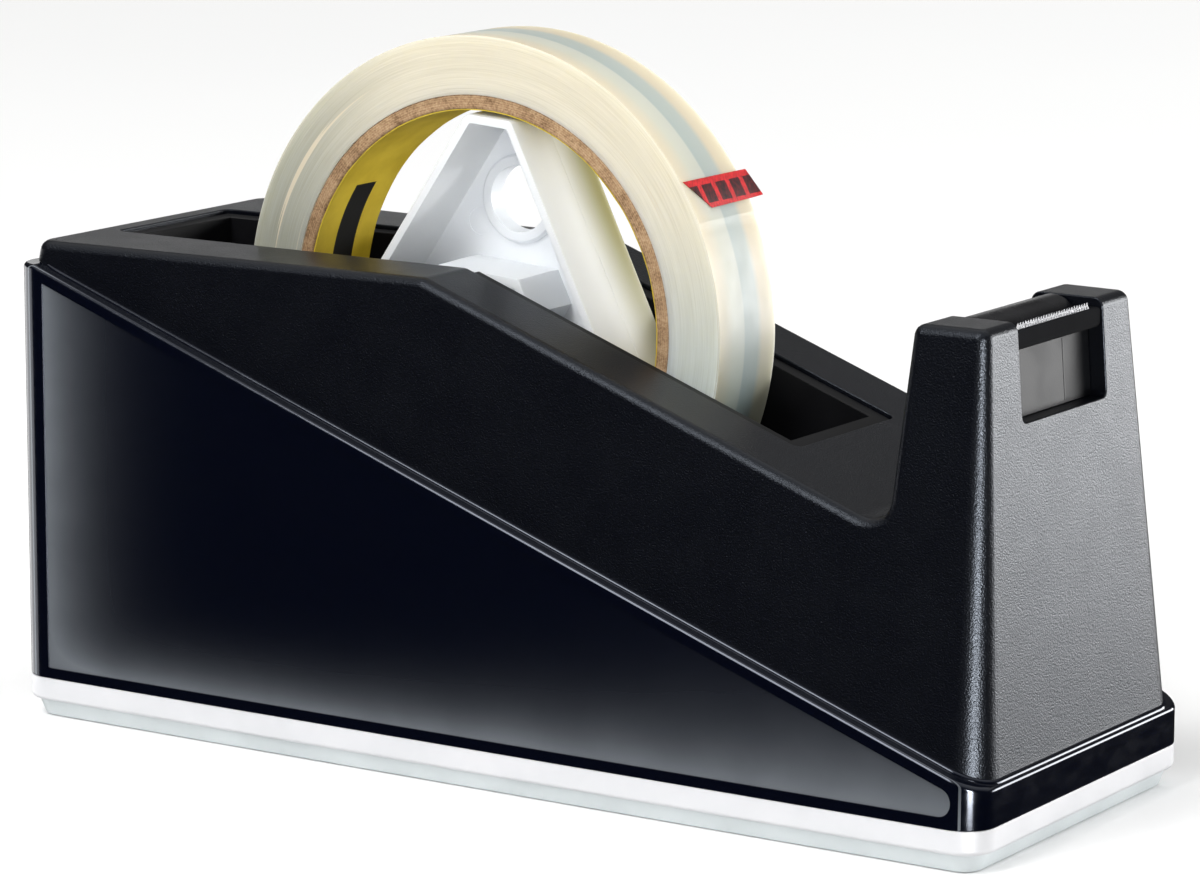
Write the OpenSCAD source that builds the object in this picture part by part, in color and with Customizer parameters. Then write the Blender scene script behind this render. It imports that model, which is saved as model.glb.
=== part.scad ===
// Heavy desktop tape dispenser for a three-inch core roll.
// Origin: middle of the underside. +X points to the cutter, +Y across, +Z up.

/* [Base] */
// Length of the base, front to back
base_l = 205; // [180:1:250]
// Width of the base
base_w = 77; // [72:0.5:100]
// Radius of the upright corners
corner_r = 6; // [4.5:0.5:9]
// Thickness of the non-slip base sheet
pad_h = 3.5; // [2.5:0.1:5]
// How far the non-slip sheet is set in from the tray's edge
pad_inset = 1.4; // [0.5:0.1:3]
// Height of the tray's edge
tray_edge_h = 4.4; // [3.6:0.1:7]
// Thickness of the tray's floor
tray_floor = 2; // [1.5:0.1:2.4]
// Gap between pieces that nest into each other
nest_gap = 0.1; // [0.05:0.01:0.2]
// Height of the tongue that locates one moulding in the next
tongue_h = 4; // [3:0.1:5]
// Thickness of that tongue
tongue_t = 1.8; // [1.4:0.1:2.2]

/* [Lower shell] */
// Wall of the lower shell
lower_wall = 3.2; // [2.8:0.1:3.8]
// Height of the lower shell above the tray at the rear
lower_rear_h = 78; // [66:1:90]
// Height of the lower shell above the tray at the front
lower_front_h = 7.1; // [7:0.1:10]
// Length of the level stretch of the lower shell's edge at the rear
part_rear_flat = 5; // [3:0.5:8]
// Length of the level stretch of the lower shell's edge at the front
part_front_flat = 0.6; // [0.5:0.1:3]
// Depth of the recessed panel in each side
panel_depth = 0.4; // [0.2:0.1:0.8]
// Margin of the side panel below the sloping edge
panel_top_gap = 3.4; // [2:0.1:6]
// Margin of the side panel above the tray
panel_bottom_gap = 2; // [1:0.1:4]
// Margin of the side panel at the rear
panel_rear_gap = 8; // [6:0.5:14]
// Margin of the side panel at the front
panel_front_gap = 5.5; // [4:0.5:12]

/* [Upper shell] */
// Height of the rear rim above the tray
rim_h = 82; // [76:1:98]
// Wall of the upper shell
upper_wall = 3; // [2.6:0.1:3.4]
// Step from the lower shell's side to the upper shell's side
side_step = 2.9; // [2.4:0.1:3]
// Inward lean of the sides above the sloping edge
side_lean = 7.8; // [5:0.1:9]
// Step from the base's rear end to the upper shell's rear end
rear_step = 2.7; // [2:0.1:3]
// Step from the base's front end to the foot of the front face
front_step = 1; // [0.6:0.1:2]
// Backward lean of the front face
front_lean = 4.4; // [2:0.1:7]
// Distance from the base's rear end to where the rim turns down
rim_l = 87.5; // [80:0.5:110]
// Downward slope of the deck in front of the rim
deck_slope = 20; // [17:0.5:22]
// Height of the post above the tray
post_h = 82.4; // [76:1:100]
// Depth of the post's top, front to back
post_top_l = 13.8; // [13:0.1:20]
// Forward lean of the post's rear face
post_rear_lean = 7.8; // [4:0.1:10]
// Length of the small pocket in the rim
pocket_l = 11.5; // [6:0.5:16]
// Width of that pocket
pocket_w = 4.4; // [2:0.1:5]
// Depth of that pocket
pocket_h = 1.4; // [0.5:0.1:2]
// Distance from the base's rear end to that pocket
pocket_rear = 12.5; // [10:0.5:20]
// Distance of that pocket from the middle plane
pocket_y = 24.2; // [23:0.1:26]
// Radius of the valley between the deck and the post
valley_r = 6; // [3:0.5:10]

/* [Well] */
// Width of the opening in the upper shell
mouth_w = 34; // [33:0.5:40]
// Distance from the base's rear end to the opening
mouth_rear = 8; // [7:0.5:12]
// Length of the opening
mouth_l = 148.6; // [142:0.1:160]
// Drop from the upper shell's surface to the liner's lip
lip_drop = 0.8; // [0.4:0.1:1.2]
// Thickness of the liner's lip
lip_t = 1.2; // [1:0.1:1.4]
// Width of the liner's lip
lip_w = 3.3; // [2.8:0.1:4]
// Wall of the liner
liner_wall = 1.8; // [1.5:0.1:2.2]
// Gap between the roll and the liner's curved floor
roll_gap = 3; // [2:0.5:6]
// Height of the liner's level floor above the tray
shelf_h = 36; // [30:0.5:40]
// Length of the ears that hold the liner
ear_l = 9; // [8:0.5:12]
// Reach of those ears from the liner's wall
ear_reach = 9.5; // [9:0.5:11]
// Thickness of those ears
ear_t = 2; // [1.6:0.1:3]
// Drop from the upper shell's inside to the ears
ear_drop = 6; // [5:0.5:9]

/* [Roll and hub] */
// Distance from the base's rear end to the roll's axis
axis_rear = 84.8; // [80:0.1:100]
// Height of the roll's axis above the tray
axis_h = 71.4; // [66:0.1:76]
// Outside radius of the tape roll
roll_r = 51.4; // [45:0.1:53]
// Width of the tape
tape_w = 19; // [12:0.5:22]
// Inside radius of the paper core
core_r = 38.1; // [38:0.1:38.2]
// Wall of the paper core
core_wall = 2.6; // [2:0.1:4]
// Thickness of the paper label inside the core
label_t = 0.2; // [0.1:0.05:0.3]
// Gap between the hub's corners and the core's label
hub_gap = 0.3; // [0.2:0.05:0.5]
// Distance from the axis to the hub's flat sides
hub_flat = 23; // [21:0.1:25]
// Width of the hub's triangular frame
hub_w = 20; // [16:0.5:24]
// Wall of the hub's triangular frame
hub_wall = 2.1; // [1.6:0.1:3]
// Turn of the hub about its axis
hub_turn = 4; // [-30:1:30]
// Radius of the hub's middle drum, which also takes a one-inch core
drum_r = 12.6; // [12.2:0.1:12.7]
// Distance from the axis to the flats on the drum
drum_flat = 9; // [8.4:0.1:11]
// Width of the hub's middle drum
drum_w = 20.6; // [18:0.1:24]
// Thickness of the web between the drum and the frame
web_t = 2; // [1.6:0.1:3]
// Offset of the web from the middle of the hub
web_y = 3.5; // [0:0.5:5]
// Radius of the lightening holes in the web
web_hole_r = 6.1; // [4:0.1:6.5]
// Distance from the axis to those holes
web_hole_at = 20.8; // [20:0.1:22]
// Radius of the rim round each lightening hole
web_rim_r = 8.2; // [7.5:0.1:8.4]
// Radius of the spindle's round sides
spindle_r = 10.4; // [9:0.1:11]
// Distance from the axis to the spindle's flats
spindle_flat = 6.8; // [5:0.1:7.5]
// Radius of the spindle's shoulders
shoulder_r = 4.6; // [4.5:0.1:5.5]
// Gap between the spindle's shoulders and the well's walls
shoulder_gap = 0.4; // [0.2:0.1:1]
// Gap between the spindle and the drum
spindle_gap = 0.05; // [0.02:0.01:0.1]
// Radius of the axle
axle_r = 3; // [2:0.1:4]
// Distance from the axle's ends to the liner's outer sides
axle_end_gap = 0.1; // [0:0.05:0.5]
// Radial clearance of the axle and the pins in their bores
run_gap = 0.06; // [0.02:0.01:0.1]
// Height of the pull tab along the tape
tab_l = 5.8; // [4:0.1:10]
// Width of the pull tab across the tape
tab_w = 20; // [10:0.5:22]
// Thickness of the pull tab
tab_t = 0.3; // [0.2:0.05:0.5]
// Angle of the pull tab above the level line through the axis
tab_angle = 30.3; // [10:0.1:80]

/* [Cutter head] */
// Width of the notch in the post
notch_w = 30.6; // [28:0.1:34]
// Depth of the notch below the post's top
notch_h = 17.2; // [16:0.1:22]
// Depth of the notch where it is open to the rear
notch_rear_h = 12; // [11:0.1:14]
// Distance of the cutter holder's panel behind the front face
panel_back = 3; // [2:0.1:4]
// Distance from the post's top to the cutter holder's nose
nose_drop = 1.6; // [1.2:0.1:2.5]
// Height of the cutter holder's nose
nose_h = 3.4; // [3:0.1:5]
// Distance of the nose behind the front face
nose_back = 0.3; // [0.2:0.1:1]
// Radius of the guide roller
roller_r = 4.8; // [4:0.1:5]
// Distance from the rear top edge of the post to the roller's axis
roller_in = 4.6; // [4.4:0.1:6]
// Gap between the roller and the cutter holder
roller_gap = 0.5; // [0.3:0.1:1]
// Radius of the roller's pin
roller_pin_r = 1.5; // [1:0.1:2]
// Reach of the roller's pin into each side of the post
roller_pin_seat = 2; // [1:0.1:2.4]
// Width of the cutter blade
blade_w = 26; // [20:0.5:29]
// Thickness of the cutter blade
blade_t = 0.6; // [0.4:0.1:1]
// Height of the cutter blade
blade_h = 4.4; // [3.6:0.1:4.6]
// Number of teeth on the cutter blade
blade_teeth = 20; // [12:1:30]
// Height of the teeth
tooth_h = 1.1; // [0.6:0.1:1.4]
// Distance of the blade behind the nose's front
blade_back = 1; // [0.8:0.1:1.4]

/* [Ballast and fasteners] */
// Width of the ballast weight
ballast_w = 60; // [40:1:62]
// Height of the ballast weight's raised ends above the tray
ballast_h = 30; // [24:0.5:32]
// Gap between the ballast weight and the liner
ballast_gap = 1.5; // [1:0.1:4]
// Distance of the ballast weight from the base's ends
ballast_end = 13; // [12:0.5:20]
// Radius of the case bolts
bolt_r = 1.9; // [1.5:0.1:2.5]
// Radius of the case bolts' heads
bolt_head_r = 3.6; // [3:0.1:4.5]
// Distance of the case bolts from the middle plane
bolt_y = 23; // [22:0.5:25]
// Depth of the case bolts in the upper shell's bosses
bolt_bite = 12; // [8:0.5:16]
// Radius of the small screws
screw_r = 1.25; // [1:0.05:1.5]
// Radius of the small screws' heads
screw_head_r = 2.5; // [2:0.1:2.8]
// Height of screw and bolt heads
head_h = 1.6; // [1.2:0.1:2]
// Depth of the small screws in their bosses
screw_bite = 4.2; // [3:0.1:4.4]
// Clearance between a thread and its hole
thread_gap = 0.05; // [0.02:0.01:0.1]

/* [Hidden] */
$fn = 96;
eps = 0.01;
far = 400;

rear_x = -base_l / 2;
front_x = base_l / 2;
tray_z = pad_h + tray_edge_h;
floor_z = pad_h + tray_floor;

// Parting line between the lower and the upper shell, in X and Z
part_rear_x = rear_x + part_rear_flat;
part_front_x = front_x - part_front_flat;
part_rear_z = tray_z + lower_rear_h;
part_front_z = tray_z + lower_front_h;
part_slope = (part_rear_z - part_front_z) / (part_front_x - part_rear_x);
part_angle = atan(part_slope);
function part_z(x) = part_rear_z - part_slope * (x - part_rear_x);
function part_line(drop) = [
  [front_x + 1, part_front_z - drop],
  [part_front_x, part_front_z - drop],
  [part_rear_x, part_rear_z - drop],
  [rear_x - 1, part_rear_z - drop]];

// Rim and deck of the upper shell
rim_z = tray_z + rim_h;
post_z = tray_z + post_h;
rim_front_x = rear_x + rim_l;
deck_tan = tan(deck_slope);
function deck_z(x, drop) = rim_z - deck_tan * max(0, x - rim_front_x) - drop;
deck_drop = upper_wall / cos(deck_slope);

// Front face and post, each face as x = a + b * z
front_tan = tan(front_lean);
function face_x(z) = front_x - front_step - front_tan * (z - part_front_z);
post_front_x = face_x(post_z);
post_rear_x = post_front_x - post_top_l;
post_rear_tan = tan(post_rear_lean);
function post_back_x(z) = post_rear_x - post_rear_tan * (post_z - z);

// Meeting point of the deck and the post's rear face, for surfaces set in by t
function valley(t) =
  let (a = rim_z + deck_tan * rim_front_x - t / cos(deck_slope),
    b = post_rear_x - post_rear_tan * post_z + t / cos(post_rear_lean),
    z = (a - deck_tan * b) / (1 + deck_tan * post_rear_tan))
  [b + post_rear_tan * z, z];
// The valley as an arc that touches the deck and the post's rear face
valley_turn = 90 - post_rear_lean - deck_slope;
valley_back = valley_r * tan(valley_turn / 2);
valley_start = valley(0) + valley_back * [-cos(deck_slope), sin(deck_slope)];
valley_mid = valley_start + valley_r * [sin(deck_slope), cos(deck_slope)];
valley_arc = [for (i = [0:6]) let (a = -90 - deck_slope + i * valley_turn / 6)
  valley_mid + valley_r * [cos(a), sin(a)]];

upper_rear_x = rear_x + rear_step;
side_w = base_w - 2 * side_step;

// Opening and well
mouth_rear_x = rear_x + mouth_rear;
mouth_front_x = mouth_rear_x + mouth_l;
well_w = mouth_w - 2 * lip_w;
well_rear_x = mouth_rear_x + lip_w;
well_front_x = mouth_front_x - lip_w;
liner_w = well_w + 2 * liner_wall;
axis_x = rear_x + axis_rear;
axis_z = tray_z + axis_h;
well_r = roll_r + roll_gap;
shelf_z = tray_z + shelf_h;
ear_x = [mouth_rear_x + 28, axis_x + 46];
ear_y = liner_w / 2 + ear_reach / 2;
function inside_z(x) = deck_z(x, deck_drop);
function ear_z(x) = inside_z(x) - ear_drop;

// Hub
hub_corner_r = core_r - label_t - hub_gap;
axle_l = liner_w - 2 * axle_end_gap;
shoulder_w = well_w - 2 * shoulder_gap;
tape_in_r = core_r + core_wall;

// Cutter head
notch_z = post_z - notch_h;
notch_rear_z = post_z - notch_rear_h;
notch_rear_wall_x = post_back_x(notch_z) + upper_wall;
roller_x = post_rear_x + roller_in;
roller_z = post_z - roller_r;
roller_l = notch_w - 0.6;
nose_top_z = post_z - nose_drop;
nose_bottom_z = nose_top_z - nose_h;
nose_x = face_x(nose_top_z) - nose_back;
blade_x = nose_x - blade_back - blade_t;
blade_z = nose_top_z + tooth_h + 0.3 - blade_h;
holder_screw_x = notch_rear_wall_x + screw_head_r + 1;
holder_screw_y = notch_w / 2 - 6;

// Ballast
ballast_top_z = tray_z + ballast_h;
ballast_rear_x = rear_x + ballast_end;
ballast_front_x = front_x - ballast_end;
ballast_mid_z = axis_z - well_r - liner_wall - ballast_gap;
bolt_x = [ballast_rear_x + 7, well_front_x + liner_wall + bolt_head_r + 6];
boss_r = bolt_r + 2.1;

// Base screws in the corners
corner_screw_in = lower_wall + 3;
corner_boss_r = screw_r + 2.6;
corner_boss_z = part_front_z - tongue_h - 0.3;

// A solid from an outline in X and Z, centred across Y
module across(w) {
  translate([0, w / 2, 0])
    rotate([90, 0, 0])
      linear_extrude(w)
        children();
}

// A rectangle with round corners, centred
module round_rect(l, w, r) {
  union() {
    square([l - 2 * r, w], center = true);
    square([l, w - 2 * r], center = true);
    for (x = [-1, 1], y = [-1, 1])
      translate([x * (l / 2 - r), y * (w / 2 - r)])
        circle(r);
  }
}

// The base's plan, set in by t
module plan(t) {
  round_rect(base_l - 2 * t, base_w - 2 * t, max(0.8, corner_r - t));
}

// Everything below the parting line, lowered by drop
module below_part(drop) {
  across(far)
    polygon(concat(part_line(drop), [[rear_x - 1, -1], [front_x + 1, -1]]));
}

// Everything above the parting line, lowered by drop
module above_part(drop) {
  across(far)
    polygon(concat(part_line(drop), [[rear_x - 1, far], [front_x + 1, far]]));
}

// The space between the two leaning sides, half_w from the middle at the parting line
module between_sides(half_w) {
  lean = tan(side_lean);
  low = 60;
  high = 140;
  translate([0, 0, part_z(0)])
    rotate([0, part_angle, 0])
      rotate([90, 0, 90])
        translate([0, 0, -far / 2])
          linear_extrude(far)
            polygon([
              [-half_w - low * lean, -low],
              [half_w + low * lean, -low],
              [half_w - high * lean, high],
              [-half_w + high * lean, high]]);
}

// One screw or bolt with its head down, tip up
module screw(r, head_r, l) {
  union() {
    translate([0, 0, -head_h])
      cylinder(h = head_h, r = head_r);
    cylinder(h = l, r = r);
  }
}

// Places of the four corner screws
module at_corners() {
  for (x = [-1, 1], y = [-1, 1])
    translate([x * (base_l / 2 - corner_screw_in), y * (base_w / 2 - corner_screw_in), 0])
      children();
}

// Places of the four case bolts
module at_bolts() {
  for (x = bolt_x, y = [-bolt_y, bolt_y])
    translate([x, y, 0])
      children();
}

module non_slip_base() {
  color([0.83, 0.85, 0.86])
    difference() {
      linear_extrude(pad_h)
        plan(pad_inset);
      at_corners()
        translate([0, 0, -eps])
          cylinder(h = pad_h + 2 * eps, r = screw_head_r + 0.6);
      at_bolts()
        translate([0, 0, -eps])
          cylinder(h = pad_h + 2 * eps, r = bolt_head_r + 0.6);
    }
}

module base_tray() {
  color([0.92, 0.92, 0.93])
    difference() {
      translate([0, 0, pad_h])
        linear_extrude(tray_edge_h)
          plan(0);
      translate([0, 0, floor_z])
        linear_extrude(far)
          plan(lower_wall);
      at_corners()
        cylinder(h = far, r = screw_r + thread_gap);
      at_bolts()
        cylinder(h = far, r = bolt_r + thread_gap);
    }
}

module ballast_weight() {
  raised_rear_x = bolt_x[0] + boss_r + 2;
  raised_front_x = bolt_x[1] - boss_r - 2;
  color([0.33, 0.34, 0.35])
    difference() {
      across(ballast_w)
        polygon([
          [ballast_rear_x, floor_z],
          [ballast_front_x, floor_z],
          [ballast_front_x, ballast_top_z],
          [raised_front_x, ballast_top_z],
          [raised_front_x, ballast_mid_z],
          [raised_rear_x, ballast_mid_z],
          [raised_rear_x, ballast_top_z],
          [ballast_rear_x, ballast_top_z]]);
      at_bolts()
        cylinder(h = far, r = bolt_r + 0.3);
    }
}

module case_bolts() {
  color([0.62, 0.63, 0.64])
    at_bolts()
      translate([0, 0, pad_h])
        screw(bolt_r, bolt_head_r, ballast_top_z + bolt_bite - pad_h);
}

module base_screws() {
  color([0.62, 0.63, 0.64])
    at_corners()
      translate([0, 0, pad_h])
        screw(screw_r, screw_head_r, tray_floor + screw_bite);
}

// The recessed panel's outline in X and Z
module panel_outline() {
  low = tray_z + panel_bottom_gap;
  rear = rear_x + panel_rear_gap;
  front = front_x - panel_front_gap;
  polygon([
    [rear, low],
    [front - 2, low],
    [front, low + 1],
    [front, part_z(front) - panel_top_gap],
    [rear, part_z(rear) - panel_top_gap]]);
}

module lower_shell() {
  color([0.03, 0.035, 0.04])
    difference() {
      union() {
        difference() {
          translate([0, 0, tray_z])
            linear_extrude(lower_rear_h)
              plan(0);
          translate([0, 0, tray_z - eps])
            linear_extrude(far)
              plan(lower_wall);
        }
        translate([0, 0, floor_z + nest_gap])
          linear_extrude(tray_z - floor_z - nest_gap + 1)
            difference() {
              plan(lower_wall + nest_gap);
              plan(lower_wall + nest_gap + tongue_t);
            }
        translate([0, 0, tray_z])
          linear_extrude(1)
            difference() {
              plan(lower_wall - 1);
              plan(lower_wall + nest_gap + tongue_t);
            }
        intersection() {
          at_corners()
            translate([0, 0, floor_z])
              cylinder(h = corner_boss_z - floor_z, r = corner_boss_r);
          linear_extrude(far)
            plan(lower_wall + nest_gap);
        }
        intersection() {
          at_corners()
            translate([0, 0, tray_z])
              cylinder(h = corner_boss_z - tray_z, r = corner_boss_r);
          linear_extrude(far)
            plan(1);
        }
      }
      above_part(0);
      at_corners()
        cylinder(h = pad_h + tray_floor + screw_bite + 0.3, r = screw_r + thread_gap);
      for (y = [-1, 1])
        translate([0, y * (base_w / 2 + 5 - panel_depth), 0])
          across(10)
            panel_outline();
    }
}

// The upper shell's outline in X and Z
module upper_outline() {
  polygon(concat(
    [[upper_rear_x, 0], [face_x(0), 0], [post_front_x, post_z], [post_rear_x, post_z]],
    [for (i = [6:-1:0]) valley_arc[i]],
    [[rim_front_x, rim_z], [upper_rear_x, rim_z]]));
}

// The outline of the room inside it
module upper_room() {
  face_back = upper_wall / cos(front_lean);
  top_z = post_z - upper_wall;
  back = upper_wall / cos(post_rear_lean);
  polygon([
    [upper_rear_x + upper_wall, -1],
    [face_x(-1) - face_back, -1],
    [face_x(top_z) - face_back, top_z],
    [post_back_x(top_z) + back, top_z],
    valley(upper_wall),
    [rim_front_x - deck_drop * tan(deck_slope / 2), rim_z - upper_wall],
    [upper_rear_x + upper_wall, rim_z - upper_wall]]);
}

// The mouth of the well, cut to a given depth below the rim and the deck
module mouth(w, inset, drop) {
  across(w)
    polygon([
      [mouth_rear_x + inset, rim_z - drop],
      [rim_front_x, rim_z - drop],
      [mouth_front_x - inset, deck_z(mouth_front_x - inset, drop)],
      [mouth_front_x - inset, 2 * far],
      [mouth_rear_x + inset, 2 * far]]);
}

module upper_shell() {
  color([0.09, 0.09, 0.10])
    difference() {
      union() {
        difference() {
          intersection() {
            across(far)
              upper_outline();
            between_sides(side_w / 2);
            above_part(0);
          }
          intersection() {
            across(far)
              upper_room();
            between_sides(side_w / 2 - upper_wall);
          }
        }
        // Tongue inside the lower shell
        intersection() {
          linear_extrude(far)
            difference() {
              plan(lower_wall + nest_gap);
              plan(lower_wall + nest_gap + tongue_t);
            }
          above_part(tongue_h);
          below_part(-1.5);
          across(far)
            upper_outline();
        }
        // Walls of the notch in the post
        intersection() {
          across(notch_w + 2 * upper_wall)
            polygon([
              [post_back_x(notch_z - upper_wall) + 1, notch_z - upper_wall],
              [face_x(notch_z - upper_wall) - 1, notch_z - upper_wall],
              [post_front_x - 1, post_z - 1],
              [post_rear_x + 1, post_z - 1]]);
          between_sides(side_w / 2 - 1);
        }
        // Bosses for the case bolts
        intersection() {
          at_bolts()
            translate([0, 0, ballast_top_z])
              cylinder(h = far, r = boss_r);
          across(far)
            upper_outline();
          between_sides(side_w / 2 - 1);
          translate([0, 0, ballast_top_z - eps])
            across(far)
              polygon([
                [upper_rear_x + 1, 0],
                [valley(0)[0], 0],
                [valley(0)[0], valley(1)[1] - ballast_top_z],
                [rim_front_x, rim_z - 1 - ballast_top_z],
                [upper_rear_x + 1, rim_z - 1 - ballast_top_z]]);
        }
        // Bosses for the liner's screws
        for (x = ear_x, y = [-ear_y, ear_y])
          translate([x, y, ear_z(x)])
            cylinder(h = ear_drop + 2, r = screw_r + 1.6);
      }
      mouth(mouth_w, 0, lip_drop + lip_t);
      translate([rear_x + pocket_rear + pocket_l / 2, pocket_y, rim_z - pocket_h])
        linear_extrude(far)
          round_rect(pocket_l, pocket_w, pocket_w / 3);
      mouth(liner_w + 2 * nest_gap, lip_w - liner_wall - nest_gap, 2 * upper_wall);
      at_bolts()
        translate([0, 0, ballast_top_z - 1])
          cylinder(h = bolt_bite + 1.5, r = bolt_r + thread_gap);
      for (x = ear_x, y = [-ear_y, ear_y])
        translate([x, y, ear_z(x) - 1])
          cylinder(h = screw_bite + 1.3, r = screw_r + thread_gap);
      // Notch: a pocket behind the front face, open to the rear in its upper part
      across(notch_w)
        polygon([
          [notch_rear_wall_x, notch_z],
          [far, notch_z],
          [far, far],
          [notch_rear_wall_x, far]]);
      across(notch_w)
        polygon([
          [valley(0)[0] - 1, notch_rear_z],
          [far, notch_rear_z],
          [far, far],
          [valley(0)[0] - 1, far]]);
      // Bores for the roller's pin
      translate([roller_x, 0, roller_z])
        rotate([90, 0, 0])
          cylinder(h = notch_w + 2 * roller_pin_seat + 0.2, r = roller_pin_r + thread_gap, center = true);
      // Holes for the cutter holder's screws
      for (y = [-holder_screw_y, holder_screw_y])
        translate([holder_screw_x, y, notch_z - 2 * upper_wall])
          cylinder(h = 3 * upper_wall, r = screw_r + thread_gap);
    }
}

// The liner's curved floor and its level shelves, set out by t
module well_outline(t) {
  union() {
    translate([axis_x, axis_z])
      circle(well_r + t);
    translate([well_rear_x - t, shelf_z - t])
      square([well_front_x - well_rear_x + 2 * t, far]);
  }
}

module well_liner() {
  color([0.07, 0.07, 0.075])
    difference() {
      union() {
        // Walls and floor
        difference() {
          across(liner_w)
            well_outline(liner_wall);
          mouth(far, -far, lip_drop);
        }
        // Lip
        difference() {
          across(mouth_w - 2 * nest_gap)
            translate([mouth_rear_x + nest_gap, 0])
              square([mouth_l - 2 * nest_gap, far]);
          mouth(far, -far, lip_drop);
          across(far)
            polygon([
              [mouth_rear_x - 1, 0],
              [mouth_front_x + 1, 0],
              [mouth_front_x + 1, deck_z(mouth_front_x + 1, lip_drop + lip_t)],
              [rim_front_x, rim_z - lip_drop - lip_t],
              [mouth_rear_x - 1, rim_z - lip_drop - lip_t]]);
        }
        // Ears under the upper shell
        for (x = ear_x)
          translate([x, 0, ear_z(x) - ear_t / 2])
            cube([ear_l, liner_w + 2 * ear_reach, ear_t], center = true);
      }
      difference() {
        across(well_w)
          well_outline(0);
      }
      // Slots that the axle drops into
      translate([axis_x, 0, axis_z])
        rotate([90, 0, 0])
          cylinder(h = far, r = axle_r + run_gap, center = true);
      translate([axis_x, 0, axis_z + far / 2])
        cube([2 * (axle_r + run_gap), far, far], center = true);
      for (x = ear_x, y = [-ear_y, ear_y])
        translate([x, y, ear_z(x) - 2 * ear_t])
          cylinder(h = 4 * ear_t, r = screw_r + thread_gap);
    }
}

module liner_screws() {
  color([0.62, 0.63, 0.64])
    for (x = ear_x, y = [-ear_y, ear_y])
      translate([x, y, ear_z(x) - ear_t])
        screw(screw_r, screw_head_r, ear_t + screw_bite);
}

module cutter_holder() {
  panel_top_x = face_x(nose_bottom_z) - panel_back;
  color([0.05, 0.05, 0.055])
    difference() {
      across(notch_w - 2 * nest_gap)
        polygon([
          [notch_rear_wall_x + nest_gap, notch_z],
          [face_x(notch_z) - panel_back, notch_z],
          [panel_top_x, nose_bottom_z],
          [nose_x - 0.4, nose_bottom_z],
          [nose_x, nose_bottom_z + 0.6],
          [nose_x, nose_top_z - 0.4],
          [nose_x - 0.5, nose_top_z],
          [roller_x, nose_top_z],
          [notch_rear_wall_x + nest_gap, notch_rear_z]]);
      translate([roller_x, 0, roller_z])
        rotate([90, 0, 0])
          cylinder(h = notch_w + 2, r = roller_r + roller_gap, center = true);
      translate([roller_x - far / 2, 0, roller_z + far / 2])
        cube([far, far, far], center = true);
      // Slot for the blade
      translate([blade_x - thread_gap, -blade_w / 2 - thread_gap, blade_z - thread_gap])
        cube([blade_t + 2 * thread_gap, blade_w + 2 * thread_gap, far]);
      for (y = [-holder_screw_y, holder_screw_y])
        translate([holder_screw_x, y, notch_z - 1])
          cylinder(h = screw_bite + 1.2, r = screw_r + thread_gap);
    }
}

module holder_screws() {
  color([0.62, 0.63, 0.64])
    for (y = [-holder_screw_y, holder_screw_y])
      translate([holder_screw_x, y, notch_z - upper_wall])
        screw(screw_r, screw_head_r, upper_wall + screw_bite);
}

module cutter_blade() {
  pitch = blade_w / blade_teeth;
  root_z = blade_h - tooth_h;
  teeth = [for (i = [0:blade_teeth - 1], p = [0, 1])
    [(i + p / 2) * pitch - blade_w / 2, p == 0 ? root_z : blade_h]];
  color([0.72, 0.73, 0.75])
    translate([blade_x, 0, blade_z])
      rotate([90, 0, 90])
        linear_extrude(blade_t)
          polygon(concat(teeth, [[blade_w / 2, root_z], [blade_w / 2, 0], [-blade_w / 2, 0]]));
}

module guide_roller() {
  color([0.06, 0.06, 0.065])
    translate([roller_x, 0, roller_z])
      rotate([90, 0, 0])
        difference() {
          cylinder(h = roller_l, r = roller_r, center = true);
          cylinder(h = roller_l + 2, r = roller_pin_r + run_gap, center = true);
        }
}

module roller_pin() {
  color([0.7, 0.71, 0.72])
    translate([roller_x, 0, roller_z])
      rotate([90, 0, 0])
        cylinder(h = notch_w + 2 * roller_pin_seat, r = roller_pin_r, center = true);
}

// Turns its children, drawn in a plane facing the roll's axis, into the roll's place
module on_axis() {
  translate([axis_x, 0, axis_z])
    rotate([90, 0, 0])
      children();
}

module axle() {
  color([0.7, 0.71, 0.72])
    on_axis()
      cylinder(h = axle_l, r = axle_r, center = true);
}

// The hub's triangular outline with its corners cut off, set in by t
module hub_outline(t) {
  intersection() {
    circle(2 * (hub_flat - t), $fn = 3);
    rotate(60)
      circle(2 * (hub_corner_r - t) * cos(8), $fn = 3);
    circle(hub_corner_r - t);
  }
}

// A round outline with three flats that face the hub's corners
module three_flats(r, flat) {
  intersection() {
    circle(r);
    rotate(60)
      circle(2 * flat, $fn = 3);
  }
}

module hub_frame() {
  color([0.92, 0.94, 0.96])
    on_axis()
      rotate(90 - hub_turn)
        difference() {
          union() {
            linear_extrude(hub_w, center = true)
              difference() {
                hub_outline(0);
                hub_outline(hub_wall);
              }
            translate([0, 0, -web_y])
              linear_extrude(web_t, center = true)
                hub_outline(hub_wall / 2);
            linear_extrude(drum_w, center = true)
              three_flats(drum_r, drum_flat);
            for (a = [0, 120, 240])
              rotate(a)
                translate([web_hole_at, 0, -web_y])
                  cylinder(h = web_t + 2, r = web_rim_r, center = true);
          }
          for (a = [0, 120, 240])
            rotate(a)
              translate([web_hole_at, 0, 0])
                cylinder(h = far, r = web_hole_r, center = true);
          linear_extrude(far, center = true)
            three_flats(spindle_r + spindle_gap, spindle_flat + spindle_gap);
        }
}

module hub_spindle() {
  color([0.90, 0.92, 0.94])
    on_axis()
      rotate(90 - hub_turn)
        difference() {
          union() {
            linear_extrude(drum_w, center = true)
              three_flats(spindle_r, spindle_flat);
            cylinder(h = shoulder_w, r = shoulder_r, center = true);
          }
          cylinder(h = far, r = axle_r + run_gap, center = true);
        }
}

module paper_core() {
  color([0.69, 0.54, 0.40])
    on_axis()
      difference() {
        cylinder(h = tape_w, r = tape_in_r, center = true);
        cylinder(h = tape_w + 2, r = core_r, center = true);
      }
}

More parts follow.
